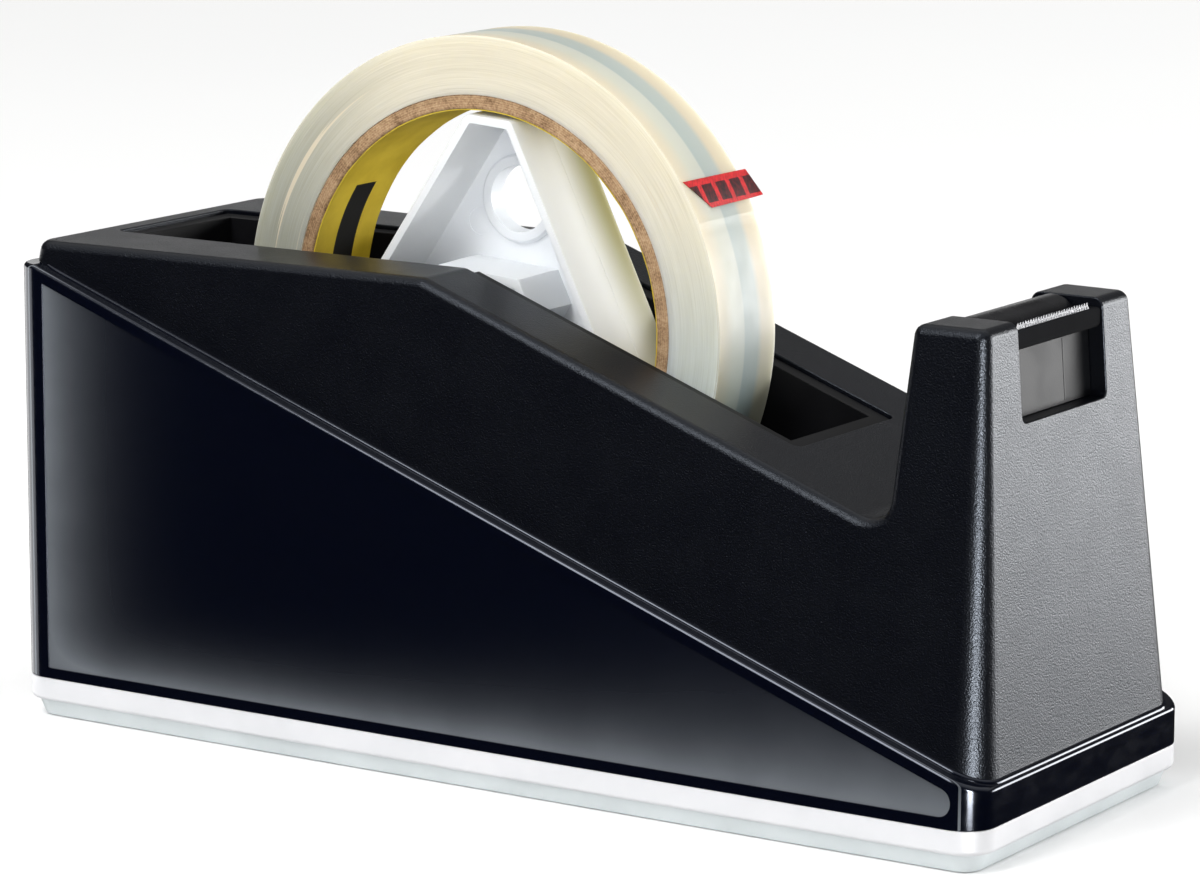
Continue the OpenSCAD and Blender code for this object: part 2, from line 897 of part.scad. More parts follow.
module core_label() {
  color([0.75, 0.63, 0.18])
    on_axis()
      difference() {
        cylinder(h = tape_w, r = core_r, center = true);
        cylinder(h = tape_w + 2, r = core_r - label_t, center = true);
      }
}

module tape_roll() {
  color([0.86, 0.86, 0.78])
    on_axis()
      difference() {
        cylinder(h = tape_w, r = roll_r, center = true);
        cylinder(h = tape_w + 2, r = tape_in_r, center = true);
      }
}

module pull_tab() {
  color([0.80, 0.08, 0.10])
    on_axis()
      intersection() {
        difference() {
          cylinder(h = far, r = roll_r + tab_t, center = true);
          cylinder(h = far + 2, r = roll_r, center = true);
        }
        rotate(tab_angle)
          translate([roll_r, 0, -(tab_w - tape_w) / 2 - 1.5])
            cube([20, tab_l, tab_w], center = true);
      }
}

non_slip_base();
base_tray();
ballast_weight();
case_bolts();
base_screws();
lower_shell();
upper_shell();
well_liner();
liner_screws();
cutter_holder();
holder_screws();
cutter_blade();
guide_roller();
roller_pin();
axle();
hub_frame();
hub_spindle();
paper_core();
core_label();
tape_roll();
pull_tab();
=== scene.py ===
"""Looks of a heavy desktop tape dispenser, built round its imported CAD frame.

Mesh code works in millimetres in the part's own frame: +X to the cutter, +Y across, +Z up.
"""

import math

import bmesh
import bpy
from mathutils import Matrix, Vector, noise


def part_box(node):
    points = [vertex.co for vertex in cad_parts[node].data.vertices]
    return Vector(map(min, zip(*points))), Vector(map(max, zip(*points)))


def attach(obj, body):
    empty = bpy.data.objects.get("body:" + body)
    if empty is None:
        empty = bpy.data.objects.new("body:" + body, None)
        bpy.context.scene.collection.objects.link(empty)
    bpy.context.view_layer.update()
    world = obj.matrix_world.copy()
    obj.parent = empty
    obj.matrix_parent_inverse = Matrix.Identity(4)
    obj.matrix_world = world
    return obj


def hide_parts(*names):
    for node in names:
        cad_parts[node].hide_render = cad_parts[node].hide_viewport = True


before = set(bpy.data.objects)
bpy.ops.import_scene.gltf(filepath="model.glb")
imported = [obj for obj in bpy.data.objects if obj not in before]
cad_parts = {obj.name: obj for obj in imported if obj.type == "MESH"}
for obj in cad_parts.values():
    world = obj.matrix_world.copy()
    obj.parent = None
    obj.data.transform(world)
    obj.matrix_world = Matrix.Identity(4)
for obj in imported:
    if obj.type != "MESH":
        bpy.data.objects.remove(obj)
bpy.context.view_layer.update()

MM = 0.001


def span(node):
    """Lowest and highest corner of a CAD node, in millimetres."""
    low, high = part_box(node)
    return low / MM, high / MM


# ---- sizes and places

TRAY_LOW, TRAY_HIGH = span("base_tray")
PAD_LOW, PAD_HIGH = span("non_slip_base")
_, LOWER_HIGH = span("lower_shell")
_, UPPER_HIGH = span("upper_shell")
ROLL_LOW, ROLL_HIGH = span("tape_roll")
CORE_LOW, CORE_HIGH = span("paper_core")
LABEL_LOW, LABEL_HIGH = span("core_label")
_, HUB_HIGH = span("hub_frame")
ROLLER_LOW, ROLLER_HIGH = span("guide_roller")
BLADE_LOW, BLADE_HIGH = span("cutter_blade")

REAR_X = TRAY_LOW.x
FRONT_X = TRAY_HIGH.x
HALF_W = TRAY_HIGH.y
TRAY_Z = TRAY_HIGH.z
CORNER_R = 6.0
LOWER_WALL = 3.2
PANEL_REAR = 7.2
PANEL_GAP = 2.5
PANEL_DEPTH = 0.4
PANEL_TIP = 5.5
LIP_R = 0.8
BEAD_W = 0.55
BOLT_R = 1.9
SCREW_R = 1.25
HEAD_H = 1.6
HEAD_GAP = 0.6

# Parting line between the lower and the upper shell
PART_REAR_X = REAR_X + 5.0
PART_FRONT_X = FRONT_X - 0.6
PART_REAR_Z = LOWER_HIGH.z
PART_FRONT_Z = TRAY_Z + 7.1
PART_SLOPE = (PART_REAR_Z - PART_FRONT_Z) / (PART_FRONT_X - PART_REAR_X)
PART_ANGLE = math.atan(PART_SLOPE)

# Upper shell
POST_Z = UPPER_HIGH.z
RIM_Z = POST_Z - 0.4
RIM_FRONT_X = REAR_X + 87.5
DECK_ANGLE = math.radians(20)
SIDE_HALF = HALF_W - 2.9
SIDE_LEAN = math.tan(math.radians(7.8))
UPPER_REAR_X = REAR_X + 2.7
UPPER_WALL = 3.0
FRONT_LEAN = math.tan(math.radians(4.4))
POST_TOP_L = 13.8
POST_BACK_ANGLE = math.radians(7.8)
VALLEY_R = 6.0
MOUTH_REAR_X = REAR_X + 8.0
MOUTH_FRONT_X = MOUTH_REAR_X + 148.6
MOUTH_HALF = 17.0
LIP_DROP = 0.8
LIP_T = 1.2
NOTCH_HALF = 15.3
NOTCH_Z = POST_Z - 17.2
NOTCH_REAR_Z = POST_Z - 12.0
CORNER_FOOT_R = 6.0
CORNER_TOP_R = 2.2
TOP_EDGE_R = 1.7
LINER_HALF = MOUTH_HALF - 1.5
MOUTH_EDGE_R = 0.3
POCKET_REAR_X = REAR_X + 12.5
POCKET_L = 11.5
POCKET_LOW_Y = 22.0
POCKET_HIGH_Y = 26.5
POCKET_H = 1.4

# Guide roller
ROLLER_AT = ((ROLLER_LOW.x + ROLLER_HIGH.x) / 2, (ROLLER_LOW.z + ROLLER_HIGH.z) / 2)
ROLLER_R = (ROLLER_HIGH.z - ROLLER_LOW.z) / 2
PIN_R = 1.5
BORE_GAP = 0.06

# Roll and hub
AXIS_X = (ROLL_LOW.x + ROLL_HIGH.x) / 2
AXIS_Z = (ROLL_LOW.z + ROLL_HIGH.z) / 2
ROLL_R = (ROLL_HIGH.z - ROLL_LOW.z) / 2
TAPE_HALF = ROLL_HIGH.y
CORE_OUT_R = (CORE_HIGH.z - CORE_LOW.z) / 2
CORE_IN_R = (LABEL_HIGH.z - LABEL_LOW.z) / 2
LABEL_T = 0.2
HUB_CORNER_R = CORE_IN_R - LABEL_T - 0.3
HUB_FLAT = 23.0
HUB_TURN = 86.0
LOBES = (0, 120, 240)
HUB_HALF_W = 10.0
WEB_Y = 3.5
WEB_T = 2.0
WEB_HOLE_R = 6.1
WEB_HOLE_AT = 20.8
WEB_RING_W = 2.1
MARK_R = 2.5
MARK_AT = 17.6
MARK_H = 0.18
DRUM_R = 12.6
DRUM_FLAT = 9.0
SPINDLE_R = 10.4
SPINDLE_FLAT = 6.8
SHOULDER_R = 4.6
SHOULDER_EASE = 0.4
AXLE_R = 3.0
TAPE_END = 24.5


def part_z(x):
    """Height of the parting line."""
    x = min(max(x, PART_REAR_X), PART_FRONT_X)
    return PART_REAR_Z - PART_SLOPE * (x - PART_REAR_X)


def face_x(z):
    """Front face of the post."""
    return FRONT_X - 1.0 - FRONT_LEAN * (z - PART_FRONT_Z)


def deck_z(x):
    """Rim and deck."""
    return RIM_Z - math.tan(DECK_ANGLE) * max(0.0, x - RIM_FRONT_X)


def side_half(x, z, inset=0.0):
    """Half width of the upper shell, whose sides lean in above the parting line."""
    slant = PART_REAR_Z - PART_SLOPE * (x - PART_REAR_X)
    rise = (z - slant) * math.cos(PART_ANGLE)
    return SIDE_HALF - inset - rise * SIDE_LEAN


# ---- mesh tools


def arc(centre, radius, start, end, steps):
    """Points on an arc, angles in degrees."""
    points = []
    for i in range(steps + 1):
        a = math.radians(start + (end - start) * i / steps)
        points.append((centre[0] + radius * math.cos(a), centre[1] + radius * math.sin(a)))
    return points


def round_rect(low, high, radius, steps=8):
    """A rectangle's outline with round corners."""
    points = []
    corners = (
        (high[0] - radius, low[1] + radius, -90),
        (high[0] - radius, high[1] - radius, 0),
        (low[0] + radius, high[1] - radius, 90),
        (low[0] + radius, low[1] + radius, 180),
    )
    for x, y, start in corners:
        points += arc((x, y), radius, start, start + 90, steps)
    return points


def footprint(inset, radius, steps=8):
    """The base's outline in plan, drawn in by an inset."""
    low, high = (REAR_X + inset, -HALF_W + inset), (FRONT_X - inset, HALF_W - inset)
    return round_rect(low, high, radius, steps)


def fillet(corner, before, after, radius, steps):
    """Points round a corner whose two sides leave it along the unit vectors before and after."""
    half_angle = before.angle(after) / 2
    reach = radius / math.tan(half_angle)
    centre = corner + (before + after).normalized() * (radius / math.sin(half_angle))
    first = corner + before * reach - centre
    last = corner + after * reach - centre
    sweep = first.angle_signed(last)
    return [centre + Matrix.Rotation(-sweep * i / steps, 2) @ first for i in range(steps + 1)]


def closed(bm):
    """Points every face of a solid outwards."""
    bmesh.ops.recalc_face_normals(bm, faces=bm.faces)
    return bm


def loft(rings):
    """A solid through rings that have the same number of points."""
    bm = bmesh.new()
    made = [[bm.verts.new(p) for p in ring] for ring in rings]
    count = len(rings[0])
    for lower, upper in zip(made, made[1:]):
        for i in range(count):
            j = (i + 1) % count
            bm.faces.new((lower[i], lower[j], upper[j], upper[i]))
    bm.faces.new(made[0])
    bm.faces.new(made[-1])
    return closed(bm)


def slab(outline, low, high):
    """A solid from an outline in X and Y."""
    return loft([[(x, y, z) for x, y in outline] for z in (low, high)])


def prism(outline, half):
    """A solid from an outline in X and Z. The half width may depend on the point."""
    width = half if callable(half) else lambda x, z: half
    return loft([[(x, side * width(x, z), z) for x, z in outline] for side in (-1, 1)])


def about_axis(radius, angle, y, centre=None):
    """A point at a radius and an angle in degrees from the roll's axis, or from another one along Y."""
    x, z = centre or (AXIS_X, AXIS_Z)
    turn = math.radians(angle)
    return (x + radius * math.cos(turn), y, z + radius * math.sin(turn))


def ring(outline, y, turn=0.0):
    """An outline drawn about the roll's axis, turned by an angle in degrees and placed at Y."""
    c, s = math.cos(math.radians(turn)), math.sin(math.radians(turn))
    return [(AXIS_X + u * c - w * s, y, AXIS_Z + u * s + w * c) for u, w in outline]


def lathe(profile, angles, shape=None, centre=None):
    """A ring turned about an axis along Y from a closed profile of radius and Y.

    shape, if given, moves each point: it takes radius, Y and angle and gives radius and Y.
    """
    bm = bmesh.new()
    rings = []
    for angle in angles:
        points = [shape(r, y, angle) if shape else (r, y) for r, y in profile]
        rings.append([bm.verts.new(about_axis(r, angle, y, centre)) for r, y in points])
    count = len(profile)
    for i, here in enumerate(rings):
        there = rings[(i + 1) % len(rings)]
        for k in range(count):
            m = (k + 1) % count
            bm.faces.new((here[k], here[m], there[m], there[k]))
    return closed(bm)


def full_turn(steps):
    """Angles in degrees round a full turn."""
    return [360 * i / steps for i in range(steps)]


def rod(levels, centre, steps=72):
    """A solid turned about an axis along Y, from pairs of Y and radius."""
    return loft([[about_axis(r, a, y, centre) for a in full_turn(steps)] for y, r in levels])


def eased_ends(low, high, radius, ease):
    """Levels along Y for a solid with chamfered ends."""
    return ((low, radius - ease), (low + ease, radius), (high - ease, radius), (high, radius - ease))


def placed(name, data):
    """A new object in the scene."""
    made = bpy.data.objects.new(name, data)
    bpy.context.collection.objects.link(made)
    return made


def combined(a, b, operation):
    """Solid a with solid b cut away, joined on, or as its limit."""
    holders = []
    for bm in (a, b):
        holder = placed("work", bpy.data.meshes.new("work"))
        bm.to_mesh(holder.data)
        bm.free()
        holders.append(holder)
    modifier = holders[0].modifiers.new("combine", "BOOLEAN")
    modifier.operation = operation
    modifier.solver = "EXACT"
    modifier.object = holders[1]
    result = bmesh.new()
    result.from_object(holders[0], bpy.context.evaluated_depsgraph_get())
    for holder in holders:
        mesh = holder.data
        bpy.data.objects.remove(holder)
        bpy.data.meshes.remove(mesh)
    flatten(result)
    return result


def flatten(bm):
    """Joins points that fall together and faces that lie in one plane."""
    bmesh.ops.remove_doubles(bm, verts=bm.verts, dist=0.0005)
    bmesh.ops.dissolve_limit(
        bm, angle_limit=math.radians(0.3), use_dissolve_boundaries=False, verts=bm.verts, edges=bm.edges
    )


def less(a, *cutters):
    """Solid a with each cutter taken away in turn."""
    for cutter in cutters:
        a = combined(a, cutter, "DIFFERENCE")
    return a


def plus(a, *others):
    """Solid a joined with each of the others."""
    for other in others:
        a = combined(a, other, "UNION")
    return a


def round_edges(bm, radius, segments=3, where=None, sharper=30.0, clamp=True):
    """Rounds the edges that are sharper than an angle, where a test on the edge's middle holds."""
    picked = []
    for edge in bm.edges:
        if len(edge.link_faces) != 2 or edge.calc_face_angle() < math.radians(sharper):
            continue
        middle = (edge.verts[0].co + edge.verts[1].co) / 2
        if where is None or where(middle, edge):
            picked.append(edge)
    bmesh.ops.bevel(
        bm,
        geom=picked,
        offset=radius,
        offset_type="OFFSET",
        segments=segments,
        profile=0.5,
        affect="EDGES",
        clamp_overlap=clamp,
        miter_outer="ARC",
        loop_slide=True,
    )
    return bm


def knit(bm):
    """Closes slits where a bevel left a point in the middle of a neighbour's edge."""
    slits = [edge for edge in bm.edges if len(edge.link_faces) == 1]
    points = {vert for edge in slits for vert in edge.verts}
    for edge in slits:
        start, end = edge.verts
        along = end.co - start.co
        for point in points - {start, end}:
            share = (point.co - start.co).dot(along) / along.length_squared
            if 0 < share < 1 and (start.co + along * share - point.co).length < 0.002:
                bmesh.utils.edge_split(edge, start, share)
                break
    bmesh.ops.remove_doubles(bm, verts=bm.verts, dist=0.002)
    return bm


def from_cad(node):
    """A working copy of a CAD node's mesh, in millimetres, with its flat faces joined."""
    bm = bmesh.new()
    bm.from_mesh(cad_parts[node].data)
    bmesh.ops.scale(bm, vec=(1 / MM, 1 / MM, 1 / MM), verts=bm.verts)
    flatten(bm)
    return closed(bm)


def moved(bm, place):
    """A solid turned or shifted by a matrix."""
    bmesh.ops.transform(bm, matrix=place, verts=bm.verts)
    return bm


def piece(name, bm, material, body, nodes=(), smooth=34.0):
    """Makes the object, gives it its material, ties it to its CAD body, and hides the CAD nodes it stands in
    for.
    """
    mesh = bpy.data.meshes.new(name)
    bmesh.ops.scale(bm, vec=(MM, MM, MM), verts=bm.verts)
    bm.to_mesh(mesh)
    bm.free()
    mesh.shade_smooth()
    mesh.set_sharp_from_angle(angle=math.radians(smooth))
    made = placed(name, mesh)
    made.data.materials.append(material)
    weighted = made.modifiers.new("weighted", "WEIGHTED_NORMAL")
    weighted.keep_sharp = True
    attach(made, body)
    if nodes:
        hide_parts(*nodes)
    return made


# ---- material tools


def set_stops(band, stops):
    """Gives a colour ramp its pairs of position and colour."""
    while len(band.elements) < len(stops):
        band.elements.new(0.5)
    for element, (position, colour) in zip(band.elements, stops):
        element.position = position
        element.color = (*colour, 1)


class Paint:
    """A procedural material, with short calls for the nodes that it uses."""

    def __init__(self, name, **values):
        self.material = bpy.data.materials.new(name)
        self.material.use_nodes = True
        self.tree = self.material.node_tree
        self.shader = self.tree.nodes["Principled BSDF"]
        for label, value in values.items():
            self.set(label.replace("_", " "), value)
        place = self.tree.nodes.new("ShaderNodeTexCoord")
        self.place = place.outputs["Object"]

    def set(self, label, value):
        """Sets or links one input of the shader."""
        socket = self.shader.inputs[label]
        if isinstance(value, bpy.types.NodeSocket):
            self.tree.links.new(value, socket)
        else:
            socket.default_value = value

    def node(self, kind, inputs=(), **settings):
        """Adds a node. Inputs are pairs of a name or number and a value or another node's output."""
        made = self.tree.nodes.new("ShaderNode" + kind)
        for label, value in settings.items():
            setattr(made, label, value)
        for label, value in dict(inputs).items():
            if isinstance(value, bpy.types.NodeSocket):
                self.tree.links.new(value, made.inputs[label])
            else:
                made.inputs[label].default_value = value
        return made

    def let_in(self, weight, radius=(0.006, 0.006, 0.0065), scale=1.0):
        """Lets some light in under the surface."""
        self.set("Subsurface Weight", weight)
        self.set("Subsurface Radius", radius)
        self.set("Subsurface Scale", scale)

    def axes(self):
        """The X, Y and Z outputs of the place on the object, in metres."""
        split = self.node("SeparateXYZ", {0: self.place})
        return split.outputs[0], split.outputs[1], split.outputs[2]

    def math(self, operation, a, b=0.0, c=0.0):
        """One sum."""
        return self.node("Math", {0: a, 1: b, 2: c}, operation=operation).outputs[0]

    def off(self, value, centre):
        """How far a value is from a centre, without its sign."""
        return self.math("ABSOLUTE", self.math("SUBTRACT", value, centre))

    def from_roll_axis(self):
        """How far a place is from the roll's axis along X and along Z, in metres."""
        x, _, z = self.axes()
        return self.math("SUBTRACT", x, AXIS_X * MM), self.math("SUBTRACT", z, AXIS_Z * MM)

    def noise(self, size, detail=2.0, roughness=0.5, place=None, stretch=None):
        """Noise whose features are about size millimetres across."""
        source = self.place if place is None else place
        if stretch:
            mapping = self.node("Mapping", {"Vector": source, "Scale": stretch})
            source = mapping.outputs[0]
        inputs = {"Vector": source, "Scale": 1 / (size * MM), "Detail": detail, "Roughness": roughness}
        return self.node("TexNoise", inputs).outputs["Fac"]

    def steps(self, value, low, high, low_out=0.0, high_out=1.0):
        """Maps a value smoothly from one range to another."""
        inputs = {"Value": value, "From Min": low, "From Max": high, "To Min": low_out, "To Max": high_out}
        return self.node("MapRange", inputs, interpolation_type="SMOOTHSTEP").outputs["Result"]

    def ramp(self, value, *stops):
        """A colour ramp from pairs of position and colour."""
        made = self.node("ValToRGB", {0: value})
        set_stops(made.color_ramp, stops)
        return made.outputs["Color"]

    def mix(self, share, a, b, blend="MIX"):
        """Mixes two colours."""
        made = self.node("Mix", data_type="RGBA", blend_type=blend)
        for index, value in ((0, share), (6, a), (7, b)):
            if isinstance(value, bpy.types.NodeSocket):
                self.tree.links.new(value, made.inputs[index])
            elif index == 0:
                made.inputs[index].default_value = value
            else:
                made.inputs[index].default_value = (*value, 1)
        return made.outputs[2]

    def bump(self, height, strength, depth, normal=None):
        """Raises the surface by a height map, depth in millimetres."""
        inputs = {"Height": height, "Strength": strength, "Distance": depth * MM}
        if normal is not None:
            inputs["Normal"] = normal
        return self.node("Bump", inputs).outputs["Normal"]


# ---- materials


def eroded_black():
    """Black plastic with a fine spark-eroded grain."""
    paint = Paint("shell_matte", Specular_IOR_Level=0.26, Specular_Tint=(0.8, 0.88, 1.0, 1.0))
    grain = paint.noise(0.3, 1.0, 0.6)
    blotch = paint.noise(9.0, 2.0)
    colour = paint.ramp(grain, (0.35, (0.0005, 0.0006, 0.0016)), (0.7, (0.0012, 0.0015, 0.004)))
    paint.set("Base Color", colour)
    paint.set("Roughness", paint.steps(blotch, 0.3, 0.7, 0.31, 0.34))
    paint.set("Normal", paint.bump(grain, 0.9, 0.078))
    return paint.material


def gloss_black():
    """Polished black plastic. Its side panels carry a painted reflection, a paler glow towards their rear
    and lower edges.
    """
    paint = Paint("shell_gloss", Specular_IOR_Level=0.45, Specular_Tint=(0.8, 0.86, 1.0, 1.0))
    x, y, z = paint.axes()
    # Painted reflection: a pale glow that spreads in from the rear edge and the lower edge of each recessed
    # side panel, wider towards the front.
    rear_reach, widen_from, widen_over = 5.8, 58, 110
    rear_depth = paint.math("SUBTRACT", x, (REAR_X + PANEL_REAR) * MM)
    rear = paint.math("EXPONENT", paint.math("DIVIDE", rear_depth, -rear_reach * MM))
    forward = paint.math("DIVIDE", paint.math("ADD", x, widen_from * MM), widen_over * MM)
    forward = paint.math("MAXIMUM", forward, 0.0)
    reach = paint.math("MULTIPLY_ADD", paint.math("POWER", forward, 2.0), -3 * MM, -3 * MM)
    height = paint.math("SUBTRACT", z, (TRAY_Z + 2) * MM)
    foot = paint.math("EXPONENT", paint.math("DIVIDE", height, reach))
    painted_reflection = paint.math("MINIMUM", paint.math("ADD", rear, foot), 1.0)
    off_panel = paint.off(paint.math("ABSOLUTE", y), (HALF_W - PANEL_DEPTH) * MM)
    inside = paint.math("MULTIPLY", painted_reflection, paint.math("LESS_THAN", off_panel, 0.08 * MM))
    cloud = paint.noise(14.0, 3.0)
    painted_reflection_haze = paint.math("MULTIPLY", inside, paint.steps(cloud, 0.2, 0.8, 0.85, 1.05))
    # The panel floor runs from plain black to the painted reflection's grey.
    paint.set("Base Color", paint.ramp(painted_reflection_haze, (0.0, (0.0006, 0.0011, 0.0042)), (1.0, (0.127, 0.138, 0.153))))
    smear = paint.noise(5.0, 3.0, stretch=(1, 1, 2.5))
    paint.set("Roughness", paint.steps(smear, 0.25, 0.75, 0.1, 0.17))
    paint.set("Normal", paint.bump(paint.noise(2.5, 2.0), 0.05, 0.02))
    return paint.material


def satin_plastic(name, light, dark, rough, grain, depth, specular=0.5, see=0.0, dull_above=None):
    """Moulded plastic with a faint grain. It may let light in, and turn dull above a height."""
    paint = Paint(name, Specular_IOR_Level=specular)
    if see:
        paint.let_in(see)
    cloud = paint.noise(11.0, 3.0)
    fine = paint.noise(grain, 2.0)
    paint.set("Base Color", paint.ramp(cloud, (0.3, dark), (0.7, light)))
    roughness = paint.steps(cloud, 0.3, 0.7, rough, rough + 0.08)
    if dull_above:
        _, _, z = paint.axes()
        dull = paint.steps(z, (dull_above - 0.4) * MM, dull_above * MM)
        roughness = paint.math("MAXIMUM", roughness, dull)
    paint.set("Roughness", roughness)
    paint.set("Normal", paint.bump(fine, 0.35, depth))
    return paint.material


def hub_white():
    """Satin white plastic. Its outer flats carry painted bounce light, an olive-yellow tint from the label
    that grows towards the far side and the top.
    """
    paint = Paint("hub_white", Specular_IOR_Level=0.35)
    cloud = paint.noise(11.0, 3.0)
    plain = paint.ramp(cloud, (0.3, (0.76, 0.785, 0.815)), (0.7, (0.79, 0.815, 0.84)))
    # Painted bounce light: the outer flats of all three lobes are tinted olive-yellow, most towards the far
    # side and upwards, least on the near side and below.
    _, y, z = paint.axes()
    across, up = paint.from_roll_axis()
    reach = 0.0
    for lobe in LOBES:
        turn = math.radians(HUB_TURN + lobe + 60)
        level = paint.math("MULTIPLY", across, math.cos(turn))
        along = paint.math("MULTIPLY_ADD", up, math.sin(turn), level)
        reach = paint.math("MAXIMUM", reach, along)
    flat = paint.math("GREATER_THAN", reach, (HUB_FLAT - 0.7) * MM)
    far = paint.steps(y, -0.3 * HUB_HALF_W * MM, 0.9 * HUB_HALF_W * MM, 0.06, 1.0)
    lit = paint.steps(z, (AXIS_Z - HUB_FLAT) * MM, (AXIS_Z + HUB_FLAT) * MM, 0.35, 1.0)
    share = paint.math("MULTIPLY", flat, paint.math("MULTIPLY", far, lit))
    paint.set("Base Color", paint.mix(share, plain, (0.27, 0.245, 0.05)))
    paint.let_in(0.4)
    paint.set("Roughness", paint.steps(cloud, 0.3, 0.7, 0.4, 0.48))
    paint.set("Normal", paint.bump(paint.noise(0.7, 2.0), 0.35, 0.02))
    return paint.material


def ground_steel(name, colour, rough, stretch):
    """Steel with fine grinding lines along one axis."""
    paint = Paint(name, Metallic=1.0)
    lines = paint.noise(0.12, 3.0, 0.6, stretch=stretch)
    dark = tuple(c * 0.72 for c in colour)
    paint.set("Base Color", paint.ramp(lines, (0.3, dark), (0.7, colour)))
    paint.set("Roughness", paint.steps(lines, 0.3, 0.7, rough, rough + 0.14))
    paint.set("Normal", paint.bump(lines, 0.2, 0.008))
    return paint.material


def cast_iron():
    """Grey cast iron."""
    paint = Paint("ballast_iron", Metallic=0.6, Roughness=0.7)
    rough = paint.noise(1.6, 4.0, 0.65)
    paint.set("Base Color", paint.ramp(rough, (0.3, (0.05, 0.05, 0.052)), (0.7, (0.15, 0.148, 0.145))))
    paint.set("Normal", paint.bump(rough, 0.6, 0.25))
    return paint.material


def kraft_board():
    """Brown core board with fibres and wound plies on its ends."""
    paint = Paint("core_board", Roughness=0.85, Specular_IOR_Level=0.2)
    radius = roll_radius(paint)
    ply_pitch = 0.42
    ply = paint.math("SINE", paint.math("MULTIPLY", radius, 2 * math.pi / (ply_pitch * MM)))
    fibre = paint.noise(0.5, 4.0, 0.7)
    patch = paint.noise(2.6, 3.0, 0.6)
    mottle = paint.math("ADD", paint.math("MULTIPLY", fibre, 0.6), paint.math("MULTIPLY", patch, 0.4))
    mottle = paint.math("ADD", mottle, paint.math("MULTIPLY", ply, 0.035))
    dark, middle, light = (0.13, 0.07, 0.032), (0.33, 0.205, 0.11), (0.50, 0.345, 0.20)
    paint.set("Base Color", paint.ramp(mottle, (0.34, dark), (0.5, middle), (0.68, light)))
    paint.set("Normal", paint.bump(mottle, 0.6, 0.12))
    return paint.material


def roll_radius(paint):
    """Distance from the roll's axis, in metres."""
    across, up = paint.from_roll_axis()
    square = paint.math("ADD", paint.math("MULTIPLY", across, across), paint.math("MULTIPLY", up, up))
    return paint.math("SQRT", square)


def roll_angle(paint):
    """Angle about the roll's axis, in radians, from the level line towards the cutter."""
    across, up = paint.from_roll_axis()
    return paint.math("ARCTAN2", up, across)


def yellow_paper():
    """Yellow coated label with a plain dark patch."""
    paint = Paint("label_yellow", Roughness=0.42, Specular_IOR_Level=0.4)
    angle = roll_angle(paint)
    _, y, _ = paint.axes()
    cloud = paint.noise(6.0, 3.0)
    ground = paint.ramp(cloud, (0.3, (0.50, 0.36, 0.022)), (0.7, (0.63, 0.47, 0.04)))
    patch_at, patch_reach, patch_half = 163, 17, 3.1
    turn = paint.off(angle, math.radians(patch_at))
    along = paint.math("LESS_THAN", turn, math.radians(patch_reach))
    across = paint.math("LESS_THAN", paint.math("ABSOLUTE", y), patch_half * MM)
    patch = paint.math("MULTIPLY", along, across)
    paint.set("Base Color", paint.mix(patch, ground, (0.006, 0.006, 0.006)))
    paint.set("Normal", paint.bump(paint.noise(0.6, 2.0), 0.2, 0.03))
    return paint.material


def wound_film():
    """Clear film wound on itself, clouded white, with rings on the ends. The ends carry painted light and
    shade, and the outside carries painted reflection bands and a painted shade towards the bottom.
    """
    paint = Paint("tape_film", Specular_IOR_Level=0.28)
    radius = roll_radius(paint)
    angle = roll_angle(paint)
    x, y, z = paint.axes()
    drift = paint.math("MULTIPLY", angle, 0.0006)
    unrolled = paint.node("CombineXYZ", {0: radius, 1: drift, 2: y}).outputs[0]
    rings = paint.noise(0.22, 4.0, 0.62, place=unrolled, stretch=(1, 1, 0.02))
    broad = paint.noise(2.6, 2.0, 0.5, place=unrolled, stretch=(1, 1, 0.1))
    fine = paint.ramp(rings, (0.30, (0.84, 0.83, 0.80)), (0.5, (0.93, 0.93, 0.92)), (0.7, (1.0, 1.0, 1.0)))
    # Painted light and shade on the ends: paler and yellower towards the front and the top, grey and darker
    # towards the rear and the bottom.
    painted_light_front = paint.steps(x, (AXIS_X - 0.95 * ROLL_R) * MM, (AXIS_X - 0.2 * ROLL_R) * MM)
    rise = paint.steps(z, (AXIS_Z - 0.3 * ROLL_R) * MM, (AXIS_Z + 0.6 * ROLL_R) * MM)
    painted_light_by_height = paint.mix(rise, (0.57, 0.62, 0.60), (0.70, 0.65, 0.53))
    ends_painted_light = paint.mix(painted_light_front, (0.38, 0.385, 0.33), painted_light_by_height)
    cloudy = paint.ramp(broad, (0.3, (0.93, 0.93, 0.91)), (0.7, (1.0, 1.0, 1.0)))
    end_colour = paint.mix(1.0, paint.mix(1.0, ends_painted_light, fine, "MULTIPLY"), cloudy, "MULTIPLY")
    share = paint.steps(y, -TAPE_HALF * MM, TAPE_HALF * MM, 0.0, 1.0)
    # Painted reflection bands along the outside: cream towards both edges, with a darker blue-grey band
    # across the middle.
    outside = paint.ramp(
        share,
        (0.0, (0.55, 0.50, 0.39)),
        (0.16, (0.49, 0.50, 0.43)),
        (0.40, (0.46, 0.48, 0.43)),
        (0.44, (0.34, 0.39, 0.375)),
        (0.76, (0.37, 0.41, 0.385)),
        (0.86, (0.52, 0.47, 0.36)),
        (1.0, (0.56, 0.51, 0.39)),
    )
    # Painted shade on the outside: darker and blue-grey towards the bottom, a little brighter towards the
    # top.
    height = paint.steps(z, (AXIS_Z - 0.3 * ROLL_R) * MM, (AXIS_Z + 0.35 * ROLL_R) * MM)
    shade = paint.mix(height, (0.56, 0.62, 0.63), (1.12, 1.1, 1.08))
    outside = paint.mix(1.0, outside, shade, "MULTIPLY")
    skin = paint.math("LESS_THAN", paint.math("ABSOLUTE", y), (TAPE_HALF - 0.11) * MM)
    paint.set("Base Color", paint.mix(skin, end_colour, outside))
    paint.let_in(0.55, (0.009, 0.0085, 0.0065), 0.8)
    paint.set("Roughness", paint.steps(rings, 0.3, 0.7, 0.3, 0.45))
    paint.set("Normal", paint.bump(rings, 0.35, 0.06))
    return paint.material


